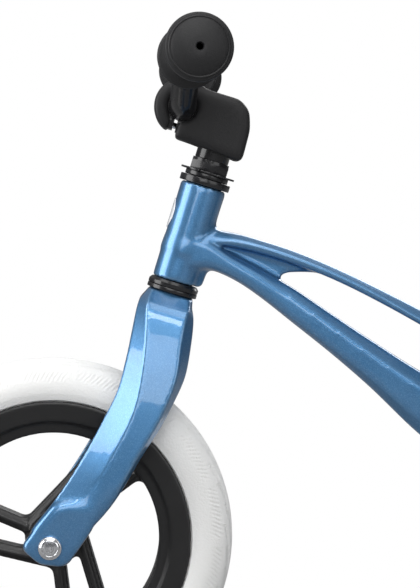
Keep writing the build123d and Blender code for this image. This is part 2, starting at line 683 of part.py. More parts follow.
def make_grip(name, side):
    """Soft grip with a hand stop at each end and a vent hole in its end wall."""
    points = bar_points()
    end, inner = (points[0], points[1]) if side < 0 else (points[-1], points[-2])
    out = (end - inner).normalized()
    square = Vector(0, 0, 1).cross(out).normalized()
    section = Plane(origin=end, x_dir=square, z_dir=square.cross(out))
    with BuildPart() as grip:
        with BuildSketch(section):
            with BuildLine():
                Polyline((BAR_RADIUS, 0), (BAR_RADIUS, -GRIP_LENGTH), (FLANGE_RADIUS, -GRIP_LENGTH),
                         (FLANGE_RADIUS, 4 - GRIP_LENGTH), (GRIP_RADIUS, 8 - GRIP_LENGTH),
                         (GRIP_RADIUS, -16), (FLANGE_RADIUS, -9), (FLANGE_RADIUS, -2), (FLANGE_RADIUS - 4, 2),
                         (GRIP_HOLE, GRIP_END_WALL), (GRIP_HOLE, 0), close=True)
            make_face()
        revolve(axis=Axis(end, out))
    finish(grip, name)


# ---- frame --------------------------------------------------------------------------------------
def spar_point(share, lift):
    """A place along the line from the foot of the head tube to the foot of the seat tube."""
    line = SEAT_FOOT - HEAD_FOOT
    return HEAD_FOOT.X + line.X * share, HEAD_FOOT.Z + line.Z * share + lift


def loft_sections(stations):
    """Solid through closed outlines, each on its own plane across the bike."""
    with BuildPart() as solid:
        for share, outline in stations:
            along = HEAD_FOOT.X + (SEAT_FOOT.X - HEAD_FOOT.X) * share
            with BuildSketch(Plane.YZ.offset(along)):
                with BuildLine():
                    Polyline(*outline, close=True)
                make_face()
        loft()
    return solid.part


def symmetric(share, half):
    """Closed outline from (across, lift) points down the right side, mirrored to the left."""
    right = [(across, spar_point(share, lift)[1]) for across, lift in half]
    return right + [(-across, height) for across, height in reversed(right)]


# share of the way to the seat tube, then lift of the top edge, the crease and the lower edge
UPPER_SPAR = [(0.12, 58.5, 52.0, 39.5), (0.25, 68.3, 61.9, 44.3), (0.39, 74.5, 68.5, 60.3),
              (0.55, 74.9, 68.2, 64.4), (0.75, 71.3, 62.3, 58.8), (1.01, 69.4, 59.4, 50.4)]
UPPER_HALF_WIDTH = 16.0
# share, then lift of the top edge, the upper crease, the lower crease and the lower edge
LOWER_SPAR = [(0.12, 44.5, 41.5, 29.5, 26.0), (0.25, 41.3, 36.8, 28.8, 22.1), (0.39, 40.0, 30.5, 17.3, 7.5),
              (0.55, 31.4, 20.9, -0.6, -10.6), (0.75, 19.3, 6.8, -23.0, -39.2), (0.98, 16.0, -1.6, -27.0, -46.0)]
LOWER_HALF_WIDTH = 19.0
LOWER_REAR_HALF_WIDTH = 34.0


def upper_spar():
    """The slender spar from the head tube to the seat tube."""
    sections = []
    for share, top, crease, bottom in UPPER_SPAR:
        half = [(UPPER_HALF_WIDTH * 0.45, top), (UPPER_HALF_WIDTH, crease), (UPPER_HALF_WIDTH * 0.8, bottom)]
        sections.append((share, symmetric(share, half)))
    return loft_sections(sections)


def lower_spar():
    """The deep spar from the head tube down to the foot of the seat tube."""
    sections = []
    for share, top, high, low, bottom in LOWER_SPAR:
        wide = LOWER_HALF_WIDTH + (LOWER_REAR_HALF_WIDTH - LOWER_HALF_WIDTH) * max(0.0, share - 0.3) / 0.7
        half = [(wide * 0.6, top), (wide, high), (wide, low), (wide * 0.62, bottom)]
        sections.append((share, symmetric(share, half)))
    return loft_sections(sections)


def head_web():
    """The set-back web between the two spars at the head tube."""
    outline = [spar_point(0.08, 50), spar_point(0.22, 56), spar_point(0.31, 55), spar_point(0.345, 50),
               spar_point(0.33, 38), spar_point(0.2, 30), spar_point(0.08, 22)]
    with BuildPart() as web:
        with BuildSketch(Plane.XZ):
            with BuildLine():
                Polyline(*outline, close=True)
            make_face()
        extrude(amount=9, both=True)
    return web.part


def rear_stay(side):
    """One stay from the lower spar past the tyre to the rear axle."""
    rear_line = REAR_AXLE - SEAT_FOOT
    near = STAY_HALF_GAP
    thick = near + STAY_THICK
    stations = [(-0.30, 2.0, -34.0, near - 24, near - 6), (-0.10, 16.0, -50.0, near - 14, near + 4), (0.10, 28.6, -45.4, near - 3, near + 12),
                (0.35, 13.6, -35.4, near, thick), (0.65, 7.4, -25.6, near + 3, thick + 2),
                (1.0, 18.0, -18.0, HUB_SPACE / 2, TIP_OUTER)]
    with BuildPart() as stay:
        for share, high, low, inner, outer in stations:
            level = SEAT_FOOT.Z + rear_line.Z * share
            bevel = (high - low) * 0.28
            outline = [(inner, level + high), (outer - 6, level + high), (outer, level + high - bevel),
                       (outer, level + low + bevel), (outer - 6, level + low), (inner, level + low)]
            with BuildSketch(Plane.YZ.offset(SEAT_FOOT.X + rear_line.X * share)):
                with BuildLine():
                    Polyline(*[(across * side, height) for across, height in outline], close=True)
                make_face()
        loft()
    return stay.part


def make_frame():
    """Cast frame: head tube, stop lug, spars, seat tube and stays."""
    castings = [upper_spar(), lower_spar(), head_web(), rear_stay(-1), rear_stay(1)]
    with BuildPart() as frame:
        add(castings)
        with BuildSketch(steer_plane(0)):
            Circle(HEAD_TUBE_RADIUS)
        extrude(amount=HEAD_LENGTH)
        with BuildSketch(steer_plane(24)):
            Circle(HEAD_TUBE_RADIUS + 0.9)
        extrude(amount=10, taper=2)
        with BuildSketch(steer_side()):
            with BuildLine():
                Polyline((16, 22), (24, 22), (23.6, 8), (23.2, 0.6), (HEAD_TUBE_RADIUS + 2.4, 0.6),
                         (HEAD_TUBE_RADIUS, 6), close=True)
            make_face()
        extrude(amount=5, both=True)
        with BuildSketch(seat_plane(-30)):
            Circle(SEAT_TUBE_RADIUS)
        extrude(amount=SEAT_TUBE_LENGTH + 30)
        for side in (-1, 1):
            with BuildSketch(across_plane(REAR_AXLE, side * TIP_OUTER)):
                Circle(STAY_TIP_RADIUS)
            extrude(amount=side * TIP_THICK)
        with BuildSketch(across_plane(REAR_AXLE, 0)):
            Circle(WHEEL_RADIUS + 5)
        extrude(amount=STAY_HALF_GAP - 1, both=True, mode=Mode.SUBTRACT)
        add(tip_trim(REAR_AXLE), mode=Mode.SUBTRACT)
        with BuildSketch(steer_plane(-20)):
            Circle(HEAD_BORE)
        extrude(amount=HEAD_LENGTH + 40, mode=Mode.SUBTRACT)
        with BuildSketch(seat_plane(2)):
            Circle(POST_RADIUS + SHAFT_GAP)
        extrude(amount=SEAT_TUBE_LENGTH + 20, mode=Mode.SUBTRACT)
        with BuildSketch(seat_plane(SEAT_TUBE_LENGTH - 34)):
            with Locations((SEAT_TUBE_RADIUS, 0)):
                Rectangle(SEAT_TUBE_RADIUS * 1.6, 2.4)
        extrude(amount=40, mode=Mode.SUBTRACT)
    finish(frame, "frame")


def make_head_badge():
    """Plain oval badge that lies on the front of the head tube."""
    seat = steer_plane(0)
    with BuildPart() as badge:
        with BuildSketch(seat):
            Circle(HEAD_TUBE_RADIUS + 0.8)
            Circle(HEAD_TUBE_RADIUS, mode=Mode.SUBTRACT)
        extrude(amount=HEAD_LENGTH)
        front = Plane(origin=steer_point(-40, HEAD_LENGTH * 0.65), x_dir=(0, -1, 0), z_dir=STEER_BACK)
        with BuildSketch(front):
            Ellipse(9.5, 13)
        extrude(amount=39, mode=Mode.INTERSECT)
    finish(badge, "head_badge")


# ---- seat ---------------------------------------------------------------------------------------
CLAMP_UP = SEAT_TUBE_LENGTH - 12.0
CLAMP_HEIGHT = 14.0
CLAMP_RADIUS = 21.5
SKEWER_BACK = 27.5
SKEWER_RADIUS = 2.5
EAR_HALF = 9.0
LEVER_ACROSS = -16.0        # of the cam pin, from the middle of the bike
LEVER_HALF = 6.5
LEVER_EYE = 5.5
SKEWER_HEAD_HALF = 3.5
CAM_PIN_RADIUS = 2.0
POST_TOP = SEAT_FOOT + SEAT_UP * (POST_START + POST_LENGTH)


def make_seat_clamp():
    """Split collar with its skewer, cam lever, cam pin and nut."""
    middle = CLAMP_UP + CLAMP_HEIGHT / 2
    skewer_at = SEAT_FOOT + SEAT_UP * middle + SEAT_BACK * SKEWER_BACK
    with BuildPart() as collar:
        with BuildSketch(seat_plane(CLAMP_UP)):
            Circle(CLAMP_RADIUS)
            with Locations((SKEWER_BACK - 2, 0)):
                Rectangle(16, EAR_HALF * 2)
            Circle(SEAT_TUBE_RADIUS, mode=Mode.SUBTRACT)
            with Locations((SKEWER_BACK, 0)):
                Rectangle(24, 2.4, mode=Mode.SUBTRACT)
        extrude(amount=CLAMP_HEIGHT)
        with BuildSketch(Plane(origin=skewer_at, x_dir=SEAT_BACK, z_dir=(0, 1, 0))):
            Circle(SKEWER_RADIUS)
        extrude(amount=EAR_HALF + 2, both=True, mode=Mode.SUBTRACT)
    finish(collar, "seat_clamp")
    head = Plane(origin=skewer_at + Vector(0, LEVER_ACROSS, 0), x_dir=SEAT_BACK, z_dir=SEAT_UP)
    with BuildPart() as skewer:
        with BuildSketch(Plane(origin=skewer_at, x_dir=SEAT_BACK, z_dir=(0, 1, 0))):
            Circle(SKEWER_RADIUS)
        extrude(amount=14, both=True)
        with BuildSketch(head.offset(-SKEWER_HEAD_HALF)):
            Circle(LEVER_EYE - 1)
        extrude(amount=2 * SKEWER_HEAD_HALF)
        with BuildSketch(head.offset(-SKEWER_HEAD_HALF)):
            Circle(CAM_PIN_RADIUS)
        extrude(amount=2 * SKEWER_HEAD_HALF, mode=Mode.SUBTRACT)
    finish(skewer, "clamp_skewer")
    with BuildPart() as pin:
        with BuildSketch(head.offset(-LEVER_HALF)):
            Circle(CAM_PIN_RADIUS)
        extrude(amount=2 * LEVER_HALF)
    finish(pin, "clamp_cam_pin")
    with BuildPart() as nut:
        with BuildSketch(Plane(origin=skewer_at + Vector(0, EAR_HALF, 0), x_dir=SEAT_BACK, z_dir=(0, 1, 0))):
            Circle(6.5)
            Circle(SKEWER_RADIUS, mode=Mode.SUBTRACT)
        extrude(amount=6)
    finish(nut, "clamp_nut")
    blade = [(-3, -4), (-14, -6.5), (-28, -8), (-46, -6.5), (-49, -9), (-46, -12.5), (-30, -14),
             (-14, -12), (-1, -5)]
    with BuildPart() as lever:
        with BuildSketch(head.offset(-LEVER_HALF)):
            Circle(LEVER_EYE)
            with BuildLine():
                Polyline(*blade, close=True)
            make_face()
        extrude(amount=2 * LEVER_HALF)
        with BuildSketch(head.offset(-LEVER_HALF)):
            Circle(CAM_PIN_RADIUS + SHAFT_GAP)
        extrude(amount=2 * LEVER_HALF, mode=Mode.SUBTRACT)
        with BuildSketch(head.offset(-SKEWER_HEAD_HALF - BODY_GAP)):
            Circle(LEVER_EYE + BODY_GAP)
        extrude(amount=2 * (SKEWER_HEAD_HALF + BODY_GAP), mode=Mode.SUBTRACT)
    finish(lever, "clamp_lever")


def make_seat_post():
    """Tube that slides in the seat tube and carries the saddle."""
    with BuildPart() as post:
        with BuildSketch(seat_plane(POST_START)):
            Circle(POST_RADIUS)
            Circle(POST_RADIUS - POST_WALL, mode=Mode.SUBTRACT)
        extrude(amount=POST_LENGTH)
        with BuildSketch(Plane(origin=BOLT_AT, x_dir=SEAT_BACK, z_dir=(0, 1, 0))):
            Circle(2.5)
        extrude(amount=40, both=True, mode=Mode.SUBTRACT)
    finish(post, "seat_post")


BOLT_AT = POST_TOP - SEAT_UP * (SOCKET_DEPTH / 2)
SOCKET_RADIUS = POST_RADIUS + 4.0


def saddle_outline(inset):
    """Plan of the saddle on its plane, with its nose towards -X: a round nose and two round hips."""
    nose = NOSE_WIDTH / 2
    hip = SADDLE_WIDTH * 0.3
    with BuildSketch(Plane.XY, mode=Mode.PRIVATE) as plan:
        with Locations((nose - SADDLE_NOSE, 0)):
            Circle(nose - inset)
        with Locations((SADDLE_LENGTH - SADDLE_NOSE - hip, SADDLE_WIDTH / 2 - hip),
                       (SADDLE_LENGTH - SADDLE_NOSE - hip, hip - SADDLE_WIDTH / 2)):
            Circle(hip - inset)
        make_hull()
    return plan.sketch


def make_saddle():
    """Moulded shell with its post socket, the cross bolt and the pad."""
    base = Plane(origin=POST_TOP)
    with BuildPart() as shell:
        with BuildSketch(base):
            add(saddle_outline(4.0))
        extrude(amount=SHELL_THICK)
        with BuildSketch(seat_plane(POST_START + POST_LENGTH - SOCKET_DEPTH)):
            Circle(SOCKET_RADIUS)
        extrude(amount=SOCKET_DEPTH + 4)
        with BuildSketch(base.offset(SHELL_THICK)):
            Rectangle(90, 90)
        extrude(amount=20, mode=Mode.SUBTRACT)
        with BuildSketch(seat_plane(POST_START + POST_LENGTH - SOCKET_DEPTH)):
            Circle(POST_RADIUS)
        extrude(amount=SOCKET_DEPTH, mode=Mode.SUBTRACT)
        with BuildSketch(Plane(origin=BOLT_AT, x_dir=SEAT_BACK, z_dir=(0, 1, 0))):
            Circle(2.5)
        extrude(amount=40, both=True, mode=Mode.SUBTRACT)
    finish(shell, "saddle_shell")
    with BuildPart() as bolt:
        with BuildSketch(Plane(origin=BOLT_AT, x_dir=SEAT_BACK, z_dir=(0, 1, 0))):
            Circle(2.5)
        extrude(amount=SOCKET_RADIUS, both=True)
        for side in (-1, 1):
            with BuildSketch(Plane(origin=BOLT_AT + Vector(0, side * SOCKET_RADIUS, 0), x_dir=SEAT_BACK,
                                   z_dir=(0, 1, 0))):
                RegularPolygon(4.2, 6)
            extrude(amount=side * 4)
    finish(bolt, "saddle_bolt")
    with BuildPart() as pad:
        with BuildSketch(base.offset(SHELL_THICK)):
            add(saddle_outline(0.0))
        extrude(amount=PAD_THICK)
        fillet(pad.faces().sort_by(Axis.Z)[-1].edges(), PAD_EDGE)
    finish(pad, "saddle_pad")


make_wheel("front", FRONT_AXLE, FRONT_SPOKE_TURN)
make_wheel("rear", REAR_AXLE, FRONT_SPOKE_TURN + 25)
make_fork()
make_headset()
make_stem()
make_clamp_bolt()
make_stem_cover()
make_handlebar()
make_grip("left_grip", -1)
make_grip("right_grip", 1)
make_frame()
make_head_badge()
make_seat_clamp()
make_seat_post()
make_saddle()
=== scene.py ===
"""Balance bike: outer surfaces, finishes, light and camera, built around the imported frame."""

import json
import math

import bpy
import numpy as np
from mathutils import Matrix, Vector

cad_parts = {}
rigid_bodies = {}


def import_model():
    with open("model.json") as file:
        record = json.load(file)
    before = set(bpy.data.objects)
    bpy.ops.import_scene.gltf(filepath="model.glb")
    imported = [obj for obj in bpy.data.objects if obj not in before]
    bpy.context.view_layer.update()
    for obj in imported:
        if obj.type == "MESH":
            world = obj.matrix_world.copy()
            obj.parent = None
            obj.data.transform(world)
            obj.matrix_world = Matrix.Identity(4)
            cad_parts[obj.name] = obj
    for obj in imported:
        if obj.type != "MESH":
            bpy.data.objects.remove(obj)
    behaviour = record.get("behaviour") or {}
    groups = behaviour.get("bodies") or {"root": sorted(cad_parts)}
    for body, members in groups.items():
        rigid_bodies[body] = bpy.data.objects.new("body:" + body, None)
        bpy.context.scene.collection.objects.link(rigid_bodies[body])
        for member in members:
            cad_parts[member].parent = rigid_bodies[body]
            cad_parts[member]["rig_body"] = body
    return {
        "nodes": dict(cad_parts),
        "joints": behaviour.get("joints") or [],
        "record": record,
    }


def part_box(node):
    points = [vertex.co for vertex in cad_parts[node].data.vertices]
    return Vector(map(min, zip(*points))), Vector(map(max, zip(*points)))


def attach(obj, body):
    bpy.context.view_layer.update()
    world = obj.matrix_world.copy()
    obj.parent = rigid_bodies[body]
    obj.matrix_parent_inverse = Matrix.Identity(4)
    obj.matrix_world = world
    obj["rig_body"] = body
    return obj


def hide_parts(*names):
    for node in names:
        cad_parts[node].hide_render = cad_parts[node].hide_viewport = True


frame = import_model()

bl_info = {
    "name": "Balance Bike Maker",
    "version": (1, 0, 0),
    "blender": (4, 5, 0),
    "location": "View3D > Sidebar > Balance Bike",
    "description": "Builds the outer surfaces and finishes of a child's balance bike",
    "category": "Object",
}

JOINTS = {joint["name"]: joint for joint in frame["joints"]}
MOUNTS = {mount["name"]: mount for mount in frame["record"]["mounts"]}
HEAD_FOOT = Vector(JOINTS["steering"]["pos_m"])
STEER_UP = Vector(JOINTS["steering"]["axis"]).normalized()
STEER_BACK = Vector((STEER_UP.z, 0, -STEER_UP.x))
WHEELS = {side: Vector(JOINTS[side + "_wheel_spin"]["pos_m"]) for side in ("front", "rear")}
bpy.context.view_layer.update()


# ---- settings -------------------------------------------------------------------------------
class BikeFinish(bpy.types.PropertyGroup):
    """Colours of the bike."""

    paint: bpy.props.FloatVectorProperty(
        name="Paint", description="Pearl paint of the frame and the fork",
        size=3, subtype="COLOR", min=0, max=1, default=(0.045, 0.17, 0.37))
    flake: bpy.props.FloatVectorProperty(
        name="Flake", description="Bright flake in the paint",
        size=3, subtype="COLOR", min=0, max=1, default=(0.2, 0.44, 0.68))
    foam: bpy.props.FloatVectorProperty(
        name="Foam", description="Foam tyres",
        size=3, subtype="COLOR", min=0, max=1, default=(0.79, 0.79, 0.78))
    nylon: bpy.props.FloatVectorProperty(
        name="Nylon", description="Moulded wheels and saddle base",
        size=3, subtype="COLOR", min=0, max=1, default=(0.004, 0.004, 0.0046))
    rubber: bpy.props.FloatVectorProperty(
        name="Rubber", description="Grips and stem hood",
        size=3, subtype="COLOR", min=0, max=1, default=(0.009, 0.009, 0.01))
    saddle: bpy.props.FloatVectorProperty(
        name="Saddle", description="Grained saddle cover",
        size=3, subtype="COLOR", min=0, max=1, default=(0.022, 0.022, 0.025))


class BikeSizes(bpy.types.PropertyGroup):
    """Sizes of the worked detail."""

    groove_depth: bpy.props.FloatProperty(
        name="Tread groove", description="Depth of the long tread grooves",
        default=0.0014, min=0, max=0.003, subtype="DISTANCE", unit="LENGTH")
    notch_depth: bpy.props.FloatProperty(
        name="Shoulder notch", description="Depth of the short slanted notches on the tyre's side",
        default=0.0006, min=0, max=0.002, subtype="DISTANCE", unit="LENGTH")
    groups: bpy.props.IntProperty(
        name="Tread groups", description="Groups of grooves round a tyre", default=17, min=4, max=40)
    frame_voxel: bpy.props.FloatProperty(
        name="Frame grain", description="Mesh size of the frame's skin",
        default=0.0015, min=0.001, max=0.01, subtype="DISTANCE", unit="LENGTH")
    fork_voxel: bpy.props.FloatProperty(
        name="Fork grain", description="Mesh size of the fork's skin",
        default=0.0013, min=0.001, max=0.01, subtype="DISTANCE", unit="LENGTH")
    rim_voxel: bpy.props.FloatProperty(
        name="Wheel grain", description="Mesh size of the wheel's skin",
        default=0.0015, min=0.001, max=0.01, subtype="DISTANCE", unit="LENGTH")


class BikeStage(bpy.types.PropertyGroup):
    """Camera and light."""

    camera_at: bpy.props.FloatVectorProperty(
        name="Camera", description="Place of the camera",
        size=3, subtype="TRANSLATION", unit="LENGTH", default=(-0.1788, -1.610, 0.4378))
    look_at: bpy.props.FloatVectorProperty(
        name="Look at", description="Point the camera looks at",
        size=3, subtype="TRANSLATION", unit="LENGTH", default=(-0.1496, 0.0, 0.3511))
    lens: bpy.props.FloatProperty(
        name="Lens", description="Focal length in millimetres", default=118.3, unit="CAMERA")
    key: bpy.props.FloatProperty(
        name="Key light", description="Power of the large light at the front",
        default=40.0, min=0, subtype="POWER", unit="POWER")
    top: bpy.props.FloatProperty(
        name="Top light", description="Power of the light overhead",
        default=23.0, min=0, subtype="POWER", unit="POWER")
    fill: bpy.props.FloatProperty(
        name="Fill light", description="Power of the light beside the camera",
        default=15.0, min=0, subtype="POWER", unit="POWER")


# ---- mesh helpers ---------------------------------------------------------------------------
def select_only(piece):
    """Makes one object the only one selected, and active."""
    if bpy.context.object and bpy.context.object.mode != "OBJECT":
        bpy.ops.object.mode_set(mode="OBJECT")
    bpy.ops.object.select_all(action="DESELECT")
    piece.select_set(True)
    bpy.context.view_layer.objects.active = piece


def close_up(piece, gap=1e-6):
    """Merges doubled points and turns the faces outwards."""
    select_only(piece)
    bpy.ops.object.mode_set(mode="EDIT")
    bpy.ops.mesh.select_all(action="SELECT")
    bpy.ops.mesh.remove_doubles(threshold=gap)
    bpy.ops.mesh.select_all(action="SELECT")
    bpy.ops.mesh.normals_make_consistent(inside=False)
    bpy.ops.object.mode_set(mode="OBJECT")


def work_from(name, node):
    """A merged copy of a CAD node, to be worked into a finished piece."""
    source = frame["nodes"][node]
    piece = source.copy()
    piece.data = source.data.copy()
    for key in [key for key in piece.keys() if key.startswith("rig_")]:
        del piece[key]
    piece.name = piece.data.name = name
    piece.parent = None
    bpy.context.collection.objects.link(piece)
    select_only(piece)
    if piece.data.has_custom_normals:
        bpy.ops.mesh.customdata_custom_splitnormals_clear()
    close_up(piece, 2e-6)
    return piece


def apply_modifier(piece, kind, **values):
    """Adds a modifier with these settings and applies it."""
    select_only(piece)
    modifier = piece.modifiers.new(kind.title(), kind)
    for key, value in values.items():
        setattr(modifier, key, value)
    bpy.ops.object.modifier_apply(modifier=modifier.name)


def soften(name, node, voxel, rounds, factor=0.5):
    """A copy of a CAD node with even mesh and softly rounded edges."""
    piece = work_from(name, node)
    apply_modifier(piece, "REMESH", mode="VOXEL", voxel_size=voxel, adaptivity=0.0)
    if rounds:
        apply_modifier(piece, "SMOOTH", factor=factor, iterations=rounds)
    select_only(piece)
    bpy.ops.object.shade_smooth()
    return piece


def soften_near(piece, strength, rounds):
    """Softens the skin further where strength, given the points, is above nothing."""
    weights = strength(points_of(piece))
    group = piece.vertex_groups.new(name="soft")
    for level in range(1, 6):
        chosen = np.nonzero((weights > (level - 1) / 5) & (weights <= level / 5))[0]
        group.add([int(index) for index in chosen], level / 5, "REPLACE")
    apply_modifier(piece, "SMOOTH", factor=0.5, iterations=rounds, vertex_group="soft")
    piece.vertex_groups.clear()


def near_spot(spot, core, fade):
    """A strength of one within core of a place, fading to nothing over fade."""
    def strength(points):
        away = np.linalg.norm(points - np.array(spot), axis=1)
        return np.clip(1 - (away - core) / fade, 0, 1)
    return strength


def spin_section(name, points, middle, axis, steps, closed=True, angle=math.tau):
    """Turns a section, given as points in space, round an axis into a closed piece."""
    bpy.ops.object.select_all(action="DESELECT")
    bpy.ops.mesh.primitive_circle_add(vertices=len(points), radius=0.01, location=(0, 0, 0))
    piece = bpy.context.object
    piece.name = piece.data.name = name
    for vertex, point in zip(piece.data.vertices, points):
        vertex.co = point
    bpy.ops.object.mode_set(mode="EDIT")
    if not closed:
        bpy.ops.mesh.select_all(action="DESELECT")
        bpy.ops.object.mode_set(mode="OBJECT")
        for edge in piece.data.edges:
            edge.select = set(edge.vertices) == {0, len(points) - 1}
        for vertex in piece.data.vertices:
            vertex.select = vertex.index in (0, len(points) - 1)
        bpy.ops.object.mode_set(mode="EDIT")
        bpy.ops.mesh.delete(type="EDGE")
    bpy.ops.mesh.select_all(action="SELECT")
    bpy.ops.mesh.spin(steps=steps, angle=angle, center=middle, axis=axis)
    bpy.ops.object.mode_set(mode="OBJECT")
    close_up(piece, 1e-5)
    select_only(piece)
    bpy.ops.object.shade_smooth_by_angle(angle=math.radians(40))
    return piece


def points_of(piece):
    """The piece's points as rows of numbers."""
    flat = np.zeros(len(piece.data.vertices) * 3)
    piece.data.vertices.foreach_get("co", flat)
    return flat.reshape(-1, 3)


def move_points(piece, points):
    """Puts the piece's points at these places."""
    piece.data.vertices.foreach_set("co", points.ravel())
    piece.data.update()


def outward(piece):
    """Outward direction at each of the piece's points."""
    flat = np.zeros(len(piece.data.vertices) * 3)
    piece.data.vertices.foreach_get("normal", flat)
    return flat.reshape(-1, 3)


def finish_piece(piece, body, node, material):
    """Ties a finished piece to its body and its material, and hides its CAD node."""
    piece.data.materials.clear()
    piece.data.materials.append(material)
    for polygon in piece.data.polygons:
        polygon.material_index = 0
    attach(piece, body)
    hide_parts(node)
    return piece


def dress_node(node, material):
    """Gives a CAD node that is shown as it is a finished material."""
    materials = frame["nodes"][node].data.materials
    for index in range(len(materials)):
        materials[index] = material


# ---- material groups ------------------------------------------------------------------------
def add_node(tree, kind, fields=None, **inputs):
    """Adds a shader node; inputs are values or sockets, by socket name with _ for a space."""
    node = tree.nodes.new(kind)
    for key, value in (fields or {}).items():
        setattr(node, key, value)
    for key, value in inputs.items():
        socket = node.inputs[int(key[1:])] if key[0] == "i" and key[1:].isdigit() \
            else node.inputs[key.replace("_", " ")]
        if isinstance(value, bpy.types.NodeSocket):
            tree.links.new(value, socket)
        else:
            socket.default_value = value
    return node


def start_group(name, takes, gives):
    """An empty node group with these inputs and outputs."""
    tree = bpy.data.node_groups.new(name, "ShaderNodeTree")
    for label, kind, default in takes:
        socket = tree.interface.new_socket(label, in_out="INPUT", socket_type="NodeSocket" + kind)
        socket.default_value = default
    for label, kind in gives:
        tree.interface.new_socket(label, in_out="OUTPUT", socket_type="NodeSocket" + kind)
    return tree, tree.nodes.new("NodeGroupInput").outputs, tree.nodes.new("NodeGroupOutput").inputs


def math_node(tree, operation, first, second=0.0, clamp=False):
    """One sum on two values."""
    fields = {"operation": operation, "use_clamp": clamp}
    return add_node(tree, "ShaderNodeMath", fields, i0=first, i1=second).outputs[0]


def blend_colour(tree, share, first, second):
    """A mix of two colours."""
    node = tree.nodes.new("ShaderNodeMix")
    node.data_type = "RGBA"
    for index, value in ((0, share), (6, first), (7, second)):
        if isinstance(value, bpy.types.NodeSocket):
            tree.links.new(value, node.inputs[index])
        else:
            node.inputs[index].default_value = value
    return node.outputs[2]


def make_flake_group():
    """Pearl flake: small facets that tilt and brighten the paint."""
    tree, take, give = start_group(
        "Pearl Flake",
        [("Paint", "Color", (0, 0, 0, 1)), ("Flake", "Color", (1, 1, 1, 1)),
         ("Scale", "Float", 1500.0), ("Tilt", "Float", 0.1), ("Amount", "Float", 0.4)],
        [("Colour", "Color"), ("Normal", "Vector")])
    place = tree.nodes.new("ShaderNodeTexCoord").outputs["Object"]
    cells = add_node(tree, "ShaderNodeTexVoronoi", Vector=place, Scale=take["Scale"])
    cloud = add_node(tree, "ShaderNodeTexNoise", Vector=place, Scale=9.0, Detail=3.0)
    split = add_node(tree, "ShaderNodeSeparateColor", Color=cells.outputs["Color"])
    sparkle = math_node(tree, "POWER", split.outputs[0], 3.0)
    drift = math_node(tree, "MULTIPLY", cloud.outputs["Fac"], 0.35)
    share = math_node(tree, "MULTIPLY", math_node(tree, "ADD", sparkle, drift), take["Amount"], True)
    tree.links.new(blend_colour(tree, share, take["Paint"], take["Flake"]), give["Colour"])
    centred = add_node(tree, "ShaderNodeVectorMath", {"operation": "SUBTRACT"},
                       i0=cells.outputs["Color"], i1=(0.5, 0.5, 0.5))
    scaled = tree.nodes.new("ShaderNodeVectorMath")
    scaled.operation = "SCALE"
    tree.links.new(centred.outputs[0], scaled.inputs[0])
    tree.links.new(take["Tilt"], scaled.inputs["Scale"])
    surface = tree.nodes.new("ShaderNodeNewGeometry")
    tilted = add_node(tree, "ShaderNodeVectorMath", {"operation": "ADD"},
                      i0=surface.outputs["Normal"], i1=scaled.outputs[0])
    unit = add_node(tree, "ShaderNodeVectorMath", {"operation": "NORMALIZE"}, i0=tilted.outputs[0])
    tree.links.new(unit.outputs[0], give["Normal"])
    return tree


def make_grain_group():
    """Fine moulded or leather grain, as a height."""
    tree, take, give = start_group(
        "Moulded Grain",
        [("Scale", "Float", 900.0), ("Pebble", "Float", 0.5)],
        [("Height", "Float")])
    place = tree.nodes.new("ShaderNodeTexCoord").outputs["Object"]
    cells = add_node(tree, "ShaderNodeTexVoronoi", {"feature": "SMOOTH_F1"},
                     Vector=place, Scale=take["Scale"])
    speckle = add_node(tree, "ShaderNodeTexNoise", Vector=place, Scale=take["Scale"], Detail=4.0)
    pebble = math_node(tree, "MULTIPLY", cells.outputs["Distance"], take["Pebble"])
    tree.links.new(math_node(tree, "SUBTRACT", speckle.outputs["Fac"], pebble), give["Height"])
    return tree


def make_wear_group():
    """Lighter edges, as wear and, on the paint, as a painted highlight along the creases, and settled dust,
    as a colour and a roughness.
    """
    tree, take, give = start_group(
        "Edge Wear, Painted Highlight and Dust",
        [("Clean", "Color", (0, 0, 0, 1)), ("Rubbed", "Color", (1, 1, 1, 1)),
         ("Dust", "Color", (0.5, 0.48, 0.45, 1)), ("Roughness", "Float", 0.4),
         ("Edges", "Float", 0.3), ("Dusty", "Float", 0.05), ("Mottle", "Float", 0.1)],
        [("Colour", "Color"), ("Roughness", "Float")])
    place = tree.nodes.new("ShaderNodeTexCoord").outputs["Object"]
    surface = tree.nodes.new("ShaderNodeNewGeometry")
    patches = add_node(tree, "ShaderNodeTexNoise", Vector=place, Scale=38.0, Detail=5.0)
    fine = add_node(tree, "ShaderNodeTexNoise", Vector=place, Scale=260.0, Detail=2.0)
    # lighter colour along sharp edges: wear, and on the pearl paint a painted highlight along the creases
    edge = add_node(tree, "ShaderNodeMapRange", Value=surface.outputs["Pointiness"],
                    From_Min=0.512, From_Max=0.575)
    broken = math_node(tree, "MULTIPLY", edge.outputs[0], fine.outputs["Fac"])
    edge_highlight_and_wear = math_node(tree, "MULTIPLY", broken, take["Edges"], True)
    facing = add_node(tree, "ShaderNodeSeparateXYZ", Vector=surface.outputs["Normal"])
    upward = math_node(tree, "MULTIPLY", math_node(tree, "MAXIMUM", facing.outputs[2], 0.15),
                       patches.outputs["Fac"])
    dusty = math_node(tree, "MULTIPLY", upward, take["Dusty"], True)
    first = blend_colour(tree, edge_highlight_and_wear, take["Clean"], take["Rubbed"])
    tree.links.new(blend_colour(tree, dusty, first, take["Dust"]), give["Colour"])
    varied = math_node(tree, "MULTIPLY", math_node(tree, "SUBTRACT", patches.outputs["Fac"], 0.5),
                       take["Mottle"])
    dulled = math_node(tree, "ADD", varied, dusty)
    tree.links.new(math_node(tree, "ADD", take["Roughness"], dulled, True), give["Roughness"])
    return tree


def opaque(colour):
    """Three numbers as a colour with full cover."""
    return (*tuple(colour)[:3], 1.0)


GROUPS = {}
MATERIALS = {}


